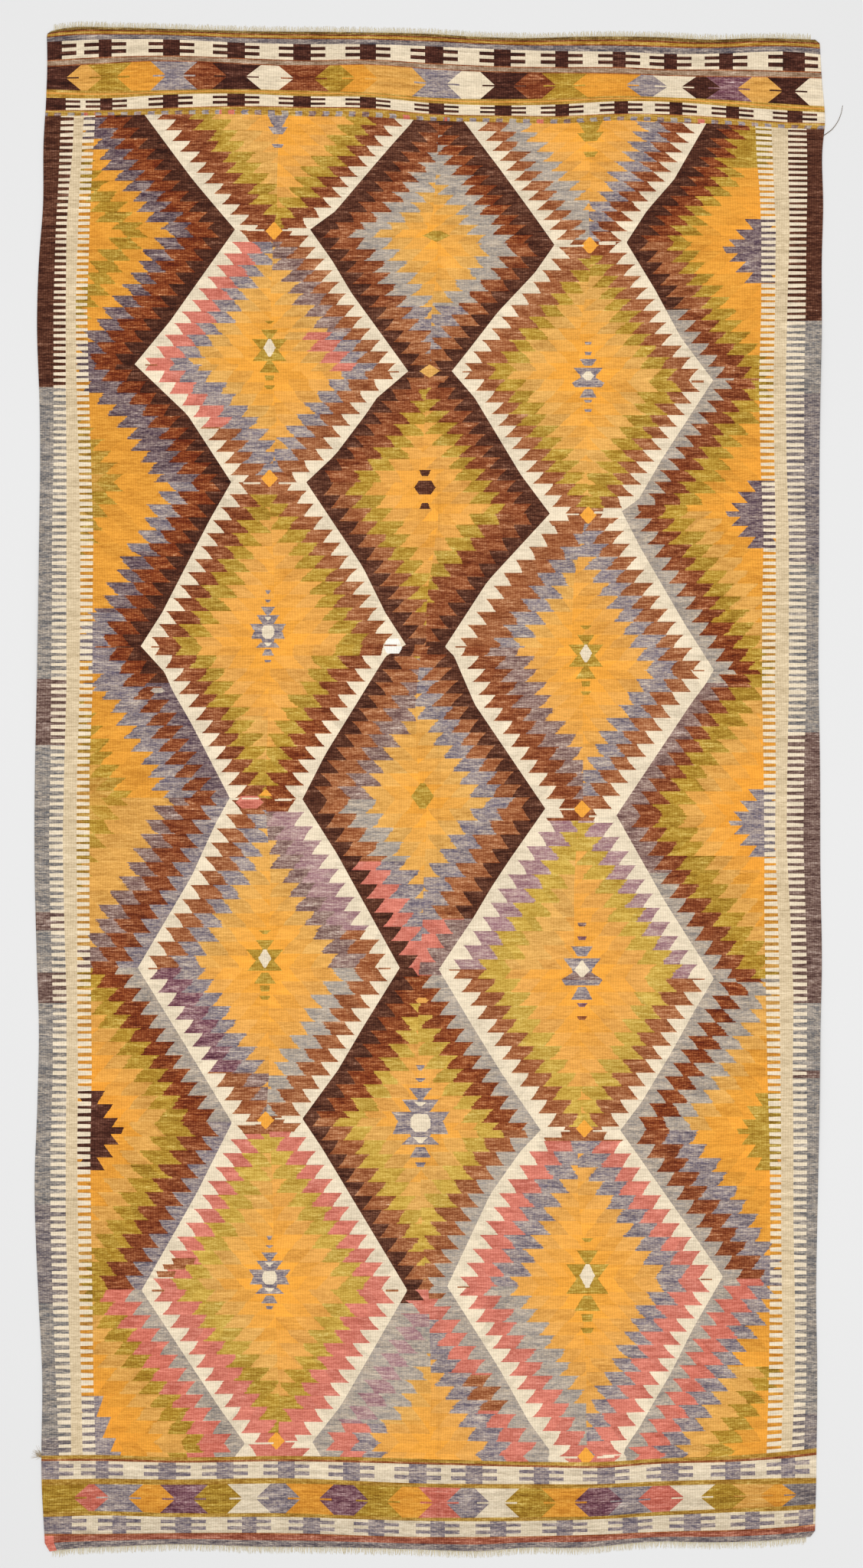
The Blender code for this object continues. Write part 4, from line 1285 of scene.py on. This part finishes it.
def end_wool(settings):
    """Wool of the end bands: each face's own yarn, or a dash's, with a depth of colour that changes every few
    wefts. The lower end is a little worn."""
    net = Net("end_band_wool")
    u, v = chart_place(net)
    tone = net.chance((v / 2.6).floor(), (u / 60).floor(), 2.0)
    dash = u / DASH_PITCH + net.cloud(net.vector(u * 0.01, v * 0.3, 8.0)) * 0.4
    dashed = abs(dash - dash.floor() - 0.5) < 0.25
    colour = net.mix(dashed, net.attribute("end_yarn"), net.attribute("dash_yarn"))
    red, _, blue = net.parts(colour)
    colour = net.deepen(colour, 1.12 - blue / red * 0.11)
    worn = (v > CHART_MIDDLE_V) * (v < LOWER_LEVELS[-2]) * (v - WORN_FROM) * WORN_DEPTH
    colour = net.scale(colour, (0.92 + tone * 0.16) * (1 - worn))
    return wool_finish(net, colour, u, v, settings)


# ---------------------------------------------------------------- loose wool


def tubes(name, paths, radii, sides, material):
    """Round threads. Each path (thread, station, xyz) carries a circle of points at each station, square to
    the path's direction there, and a point closes each end."""
    count, stations, _ = paths.shape
    tangent = np.gradient(paths, axis=1)
    tangent /= np.linalg.norm(tangent, axis=2, keepdims=True) + 1e-12
    across = np.cross(tangent, [0.0, 0.0, 1.0])
    across /= np.linalg.norm(across, axis=2, keepdims=True) + 1e-12
    upward = np.cross(across, tangent)
    turn = np.linspace(0, math.tau, sides, endpoint=False)
    ring = across[:, :, None] * np.cos(turn)[:, None] + upward[:, :, None] * np.sin(turn)[:, None]
    skin = paths[:, :, None] + ring * radii[:, :, None, None]
    points = np.concatenate([skin.reshape(-1, 3), paths[:, 0], paths[:, -1]])
    index = np.arange(count * stations * sides).reshape(count, stations, sides)
    nearer, farther = index[:, :-1], index[:, 1:]
    quads = np.stack([nearer, farther, np.roll(farther, -1, axis=2), np.roll(nearer, -1, axis=2)], axis=-1)
    root = np.broadcast_to(count * stations * sides + np.arange(count)[:, None], (count, sides))
    tip = root + count
    first, last = index[:, 0], index[:, -1]
    caps = [np.stack([root, first, np.roll(first, -1, axis=1)], axis=-1),
            np.stack([tip, np.roll(last, -1, axis=1), last], axis=-1)]
    mesh = bpy.data.meshes.new(name)
    faces = quads.reshape(-1, 4).tolist() + np.concatenate(caps).reshape(-1, 3).tolist()
    mesh.from_pydata(points.tolist(), [], faces)
    mesh.polygons.foreach_set("use_smooth", np.ones(len(faces), bool))
    mesh.materials.append(material)
    return put_in_scene(name, mesh)


def thread_wool(name, colour, settings):
    """Undyed or single-dyed yarn: a soft change of tone along it, and fine twist lines that feed the bump and
    lighten and darken the colour a little, as painted shade in the twist's grooves.
    """
    net = Net(name)
    where = net.node("ShaderNodeTexCoord", None, None, "Object")
    x, y, z = net.parts(where)
    tone = net.cloud(where, 220.0, 3.0)
    twist = ((x + y * 0.7 + z) * 9000).sine()
    # The twist lines in the colour are painted shade and painted light, 5 % either way.
    shade = 0.82 + tone * 0.36 + twist * 0.05
    dyed = net.scale(tuple(colour), shade)
    normal = net.node("ShaderNodeBump", None, {"Strength": 0.4, "Distance": 0.0003, "Height": twist})
    return net.finish(Base_Color=dyed, Roughness=settings.roughness, Normal=normal, Specular_IOR_Level=0.2)


# ---------------------------------------------------------------- operators


class KILIM_OT_stage(bpy.types.Operator):
    """Add the pale floor, the soft light and the camera straight above the rug"""

    bl_idname = "kilim.stage"
    bl_label = "Stage and camera"

    def execute(self, context):
        scene, settings = context.scene, context.scene.kilim_stage
        half = settings.floor_size / 2
        mesh = bpy.data.meshes.new("floor")
        corners = [(-half, -half, 0), (half, -half, 0), (half, half, 0), (-half, half, 0)]
        mesh.from_pydata(corners, [], [(0, 1, 2, 3)])
        net = Net("pale_floor")
        where = net.node("ShaderNodeTexCoord", None, None, "Object")
        tone = net.cloud(where, 0.6, 2.0)
        shade = net.scale(tuple(settings.floor_colour), 0.985 + tone * 0.03)
        mesh.materials.append(net.finish(Base_Color=shade, Roughness=0.7, Specular_IOR_Level=0.2))
        floor = put_in_scene("floor", mesh)

        world = scene.world or bpy.data.worlds.new("studio")
        scene.world = world
        world.use_nodes = True
        background = world.node_tree.nodes["Background"]
        background.inputs["Color"].default_value = (1.0, 1.0, 1.0, 1)
        background.inputs["Strength"].default_value = SKY_STRENGTH * settings.light
        self.lamp("soft_upper", (-0.5, 1.6, 5.0), LAMP_POWER * settings.light)
        self.lamp("soft_lower", (0.7, -1.6, 5.0), LAMP_POWER * settings.light)

        centre_x, centre_y = part_shift()
        camera = put_in_scene("camera", bpy.data.cameras.new("camera"))
        camera.location = (centre_x, centre_y, settings.camera_height)
        camera.data.sensor_width = SENSOR_WIDTH
        camera.data.lens = SENSOR_WIDTH * settings.camera_height / (PHOTO_HEIGHT * CHART)
        camera.data.clip_end = CAMERA_REACH
        scene.camera = camera
        scene.view_settings.view_transform = "Standard"
        return {"FINISHED"}

    def lamp(self, name, location, power):
        """A square area light aimed at the rug's middle."""
        data = bpy.data.lights.new(name, "AREA")
        data.size, data.energy = LAMP_SIZE, power
        made = put_in_scene(name, data)
        made.location = location
        made.rotation_euler = (-Vector(location)).to_track_quat("-Z", "Y").to_euler()


class KILIM_OT_cloth(bpy.types.Operator):
    """Weave the cloth, with field, side borders and end bands in one piece, over the floor"""

    bl_idname = "kilim.cloth"
    bl_label = "Cloth"

    def execute(self, context):
        settings, dyes = context.scene.kilim_cloth, context.scene.kilim_dyes
        cloth, slots = make_cloth(settings, dyes)
        piece = cloth.link("kilim_cloth", [field_wool(settings, dyes), end_wool(settings)], slots)
        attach(piece, "root")
        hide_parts("kilim")
        return {"FINISHED"}


class KILIM_OT_warp_ends(bpy.types.Operator):
    """Lay the cut warp ends along both hems"""

    bl_idname = "kilim.warp_ends"
    bl_label = "Warp ends"

    def execute(self, context):
        scene = context.scene
        settings, ends = scene.kilim_cloth, scene.kilim_ends
        material = thread_wool("warp_wool", ends.colour, settings)
        for hem, name, node, length in (
            (0, "warp_ends_lower", "fringe_lower", ends.lower_length),
            (1, "warp_ends_upper", "fringe_upper", ends.upper_length),
        ):
            piece = self.row(name, hem, length, ends, material)
            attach(piece, "root")
            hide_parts(node)
        return {"FINISHED"}

    def row(self, name, hem, longest, ends, material):
        """Threads from just under the hem outwards, evenly pitched with a little wander. Each leans, bends
        and sinks to the floor, and is thinner at its tip."""
        rng = np.random.default_rng(11 + hem)
        count, stations = ends.count, 5
        across = np.linspace(FRINGE_START, FRINGE_END, count) + rng.uniform(-0.4, 0.4, count) / count
        x0, y0 = place(across, np.full(count, float(hem)))
        out = 1.0 if hem else -1.0
        length = longest * (0.45 + 0.55 * rng.beta(2.2, 1.6, count))
        clump = np.sin(across * 190 + rng.uniform(0, 6)) * 0.5 + rng.normal(0, 0.5, count)
        lean = 0.0022 * clump
        bend = 0.0012 * rng.normal(0, 1, count)
        s = np.linspace(0, 1, stations)[None, :]
        root_radius = ends.radius * rng.uniform(0.75, 1.15, count)[:, None]
        radius = root_radius * (1 - 0.55 * s)
        x = x0[:, None] + lean[:, None] * s + bend[:, None] * s**2
        y = y0[:, None] + out * (-TUCKED + (length[:, None] + TUCKED) * s)
        lifted = 0.0009 * np.abs(rng.normal(0, 1, count))[:, None] * s**2 * 0.6
        z = radius + (0.0013 - radius) * (1 - s) ** 2 + lifted
        shift = part_shift()
        paths = np.stack([x + shift[0], y + shift[1], np.maximum(z, radius)], axis=-1)
        return tubes(name, paths, radius, 5, material)


class KILIM_OT_loose_yarns(bpy.types.Operator):
    """Lay the two loose weft ends beside the selvedges"""

    bl_idname = "kilim.loose_yarns"
    bl_label = "Loose yarns"

    def execute(self, context):
        scene = context.scene
        settings, ends = scene.kilim_cloth, scene.kilim_ends
        for maker, node, slot in ((self.tail, "yarn_tail", "grey_yarn"), (self.tuft, "yarn_tuft", "tan_yarn")):
            piece = maker(ends, settings)
            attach(piece, "root")
            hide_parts(node)
        return {"FINISHED"}

    def tail(self, ends, settings):
        """Two plies wound round the tail's route: each is offset by a helix of half their thickness."""
        route = np.array([(-0.003, -0.001), (0.000, 0.000), (0.009, 0.006), (0.018, 0.013), (0.026, 0.023),
                          (0.033, 0.035), (0.038, 0.049), (0.041, 0.066)])
        x0, y0 = place(1.0, TAIL_ALONG)
        stations = 90
        at = np.linspace(0, len(route) - 1, stations)
        knots = np.arange(len(route))
        smooth = np.stack([np.interp(at, knots, route[:, k]) for k in (0, 1)], axis=1)
        kernel = np.ones(9) / 9
        padded = np.pad(smooth, ((4, 4), (0, 0)), "edge")
        line = np.stack([np.convolve(padded[:, k], kernel, "valid") for k in (0, 1)], axis=1)
        line += np.array([x0, y0]) + part_shift()
        tangent = np.gradient(line, axis=0)
        tangent /= np.linalg.norm(tangent, axis=1, keepdims=True)
        normal = np.stack([-tangent[:, 1], tangent[:, 0]], axis=1)
        s = np.linspace(0, 1, stations)
        radius = 0.00062 - 0.0003 * s
        paths = []
        for phase in (0, math.pi):
            turn = phase + s * TAIL_LENGTH / TAIL_TWIST * math.tau
            side = normal * (np.sin(turn) * radius)[:, None]
            height = radius + radius * (1 + np.cos(turn)) * 0.55
            paths.append(np.column_stack([line + side, height]))
        material = thread_wool("grey_yarn_wool", ends.tail_colour, settings)
        return tubes("yarn_tail_plies", np.array(paths), np.tile(radius, (2, 1)), 7, material)

    def tuft(self, ends, settings):
        """Fibres that leave the selvedge together and fan out, lying on the floor."""
        rng = np.random.default_rng(5)
        count, stations = TUFT_FIBRES, 9
        x0, y0 = place(0.0, TUFT_ALONG)
        angle = np.radians(np.linspace(-14, 66, count) + rng.normal(0, 5, count))
        length = TUFT_LENGTH * rng.uniform(0.5, 1.08, count)
        s = np.linspace(0, 1, stations)[None, :]
        root = rng.uniform(-0.0032, 0.0032, count)[:, None]
        curl = 0.003 * rng.normal(0, 1, count)[:, None]
        reach = length[:, None] * s
        x = x0 + 0.001 - reach * np.cos(angle)[:, None] - curl * np.sin(angle)[:, None] * s**2
        y = y0 + root * (1 - 0.4 * s) + reach * np.sin(angle)[:, None] - curl * np.cos(angle)[:, None] * s**2
        radius = (0.00028 * rng.uniform(0.7, 1.3, count))[:, None] * (1 - 0.5 * s)
        lifted = np.abs(rng.normal(0, 0.0006, count))[:, None] * np.sin(math.pi * s)
        z = radius + lifted + 0.0008 * (1 - s) ** 2
        shift = part_shift()
        paths = np.stack([x + shift[0], y + shift[1], z], axis=-1)
        material = thread_wool("tan_yarn_wool", ends.tuft_colour, settings)
        return tubes("yarn_tuft_fibres", paths, radius, 5, material)


class KILIM_PT_panel(bpy.types.Panel):
    """Lists the kilim's settings and the steps that build it"""

    bl_idname = "KILIM_PT_panel"
    bl_label = "Kilim"
    bl_space_type = "VIEW_3D"
    bl_region_type = "UI"
    bl_category = "Kilim"

    def draw(self, context):
        scene = context.scene
        for group in (scene.kilim_dyes, scene.kilim_cloth, scene.kilim_ends, scene.kilim_stage):
            box = self.layout.box()
            for name in group.__annotations__:
                box.prop(group, name)
        for step in STEPS:
            self.layout.operator(step.bl_idname)


STEPS = (KILIM_OT_stage, KILIM_OT_warp_ends, KILIM_OT_loose_yarns, KILIM_OT_cloth)
GROUPS = {
    "kilim_dyes": KilimDyes, "kilim_cloth": KilimCloth, "kilim_ends": KilimEnds, "kilim_stage": KilimStage,
}


def register():
    for cls in (*GROUPS.values(), *STEPS, KILIM_PT_panel):
        bpy.utils.register_class(cls)
    for name, group in GROUPS.items():
        setattr(bpy.types.Scene, name, bpy.props.PointerProperty(type=group))


def unregister():
    for name in GROUPS:
        delattr(bpy.types.Scene, name)
    for cls in reversed((*GROUPS.values(), *STEPS, KILIM_PT_panel)):
        bpy.utils.unregister_class(cls)


def main():
    register()
    bpy.ops.kilim.stage()
    bpy.ops.kilim.warp_ends()
    bpy.ops.kilim.loose_yarns()
    bpy.ops.kilim.cloth()


if __name__ == "__main__":
    main()
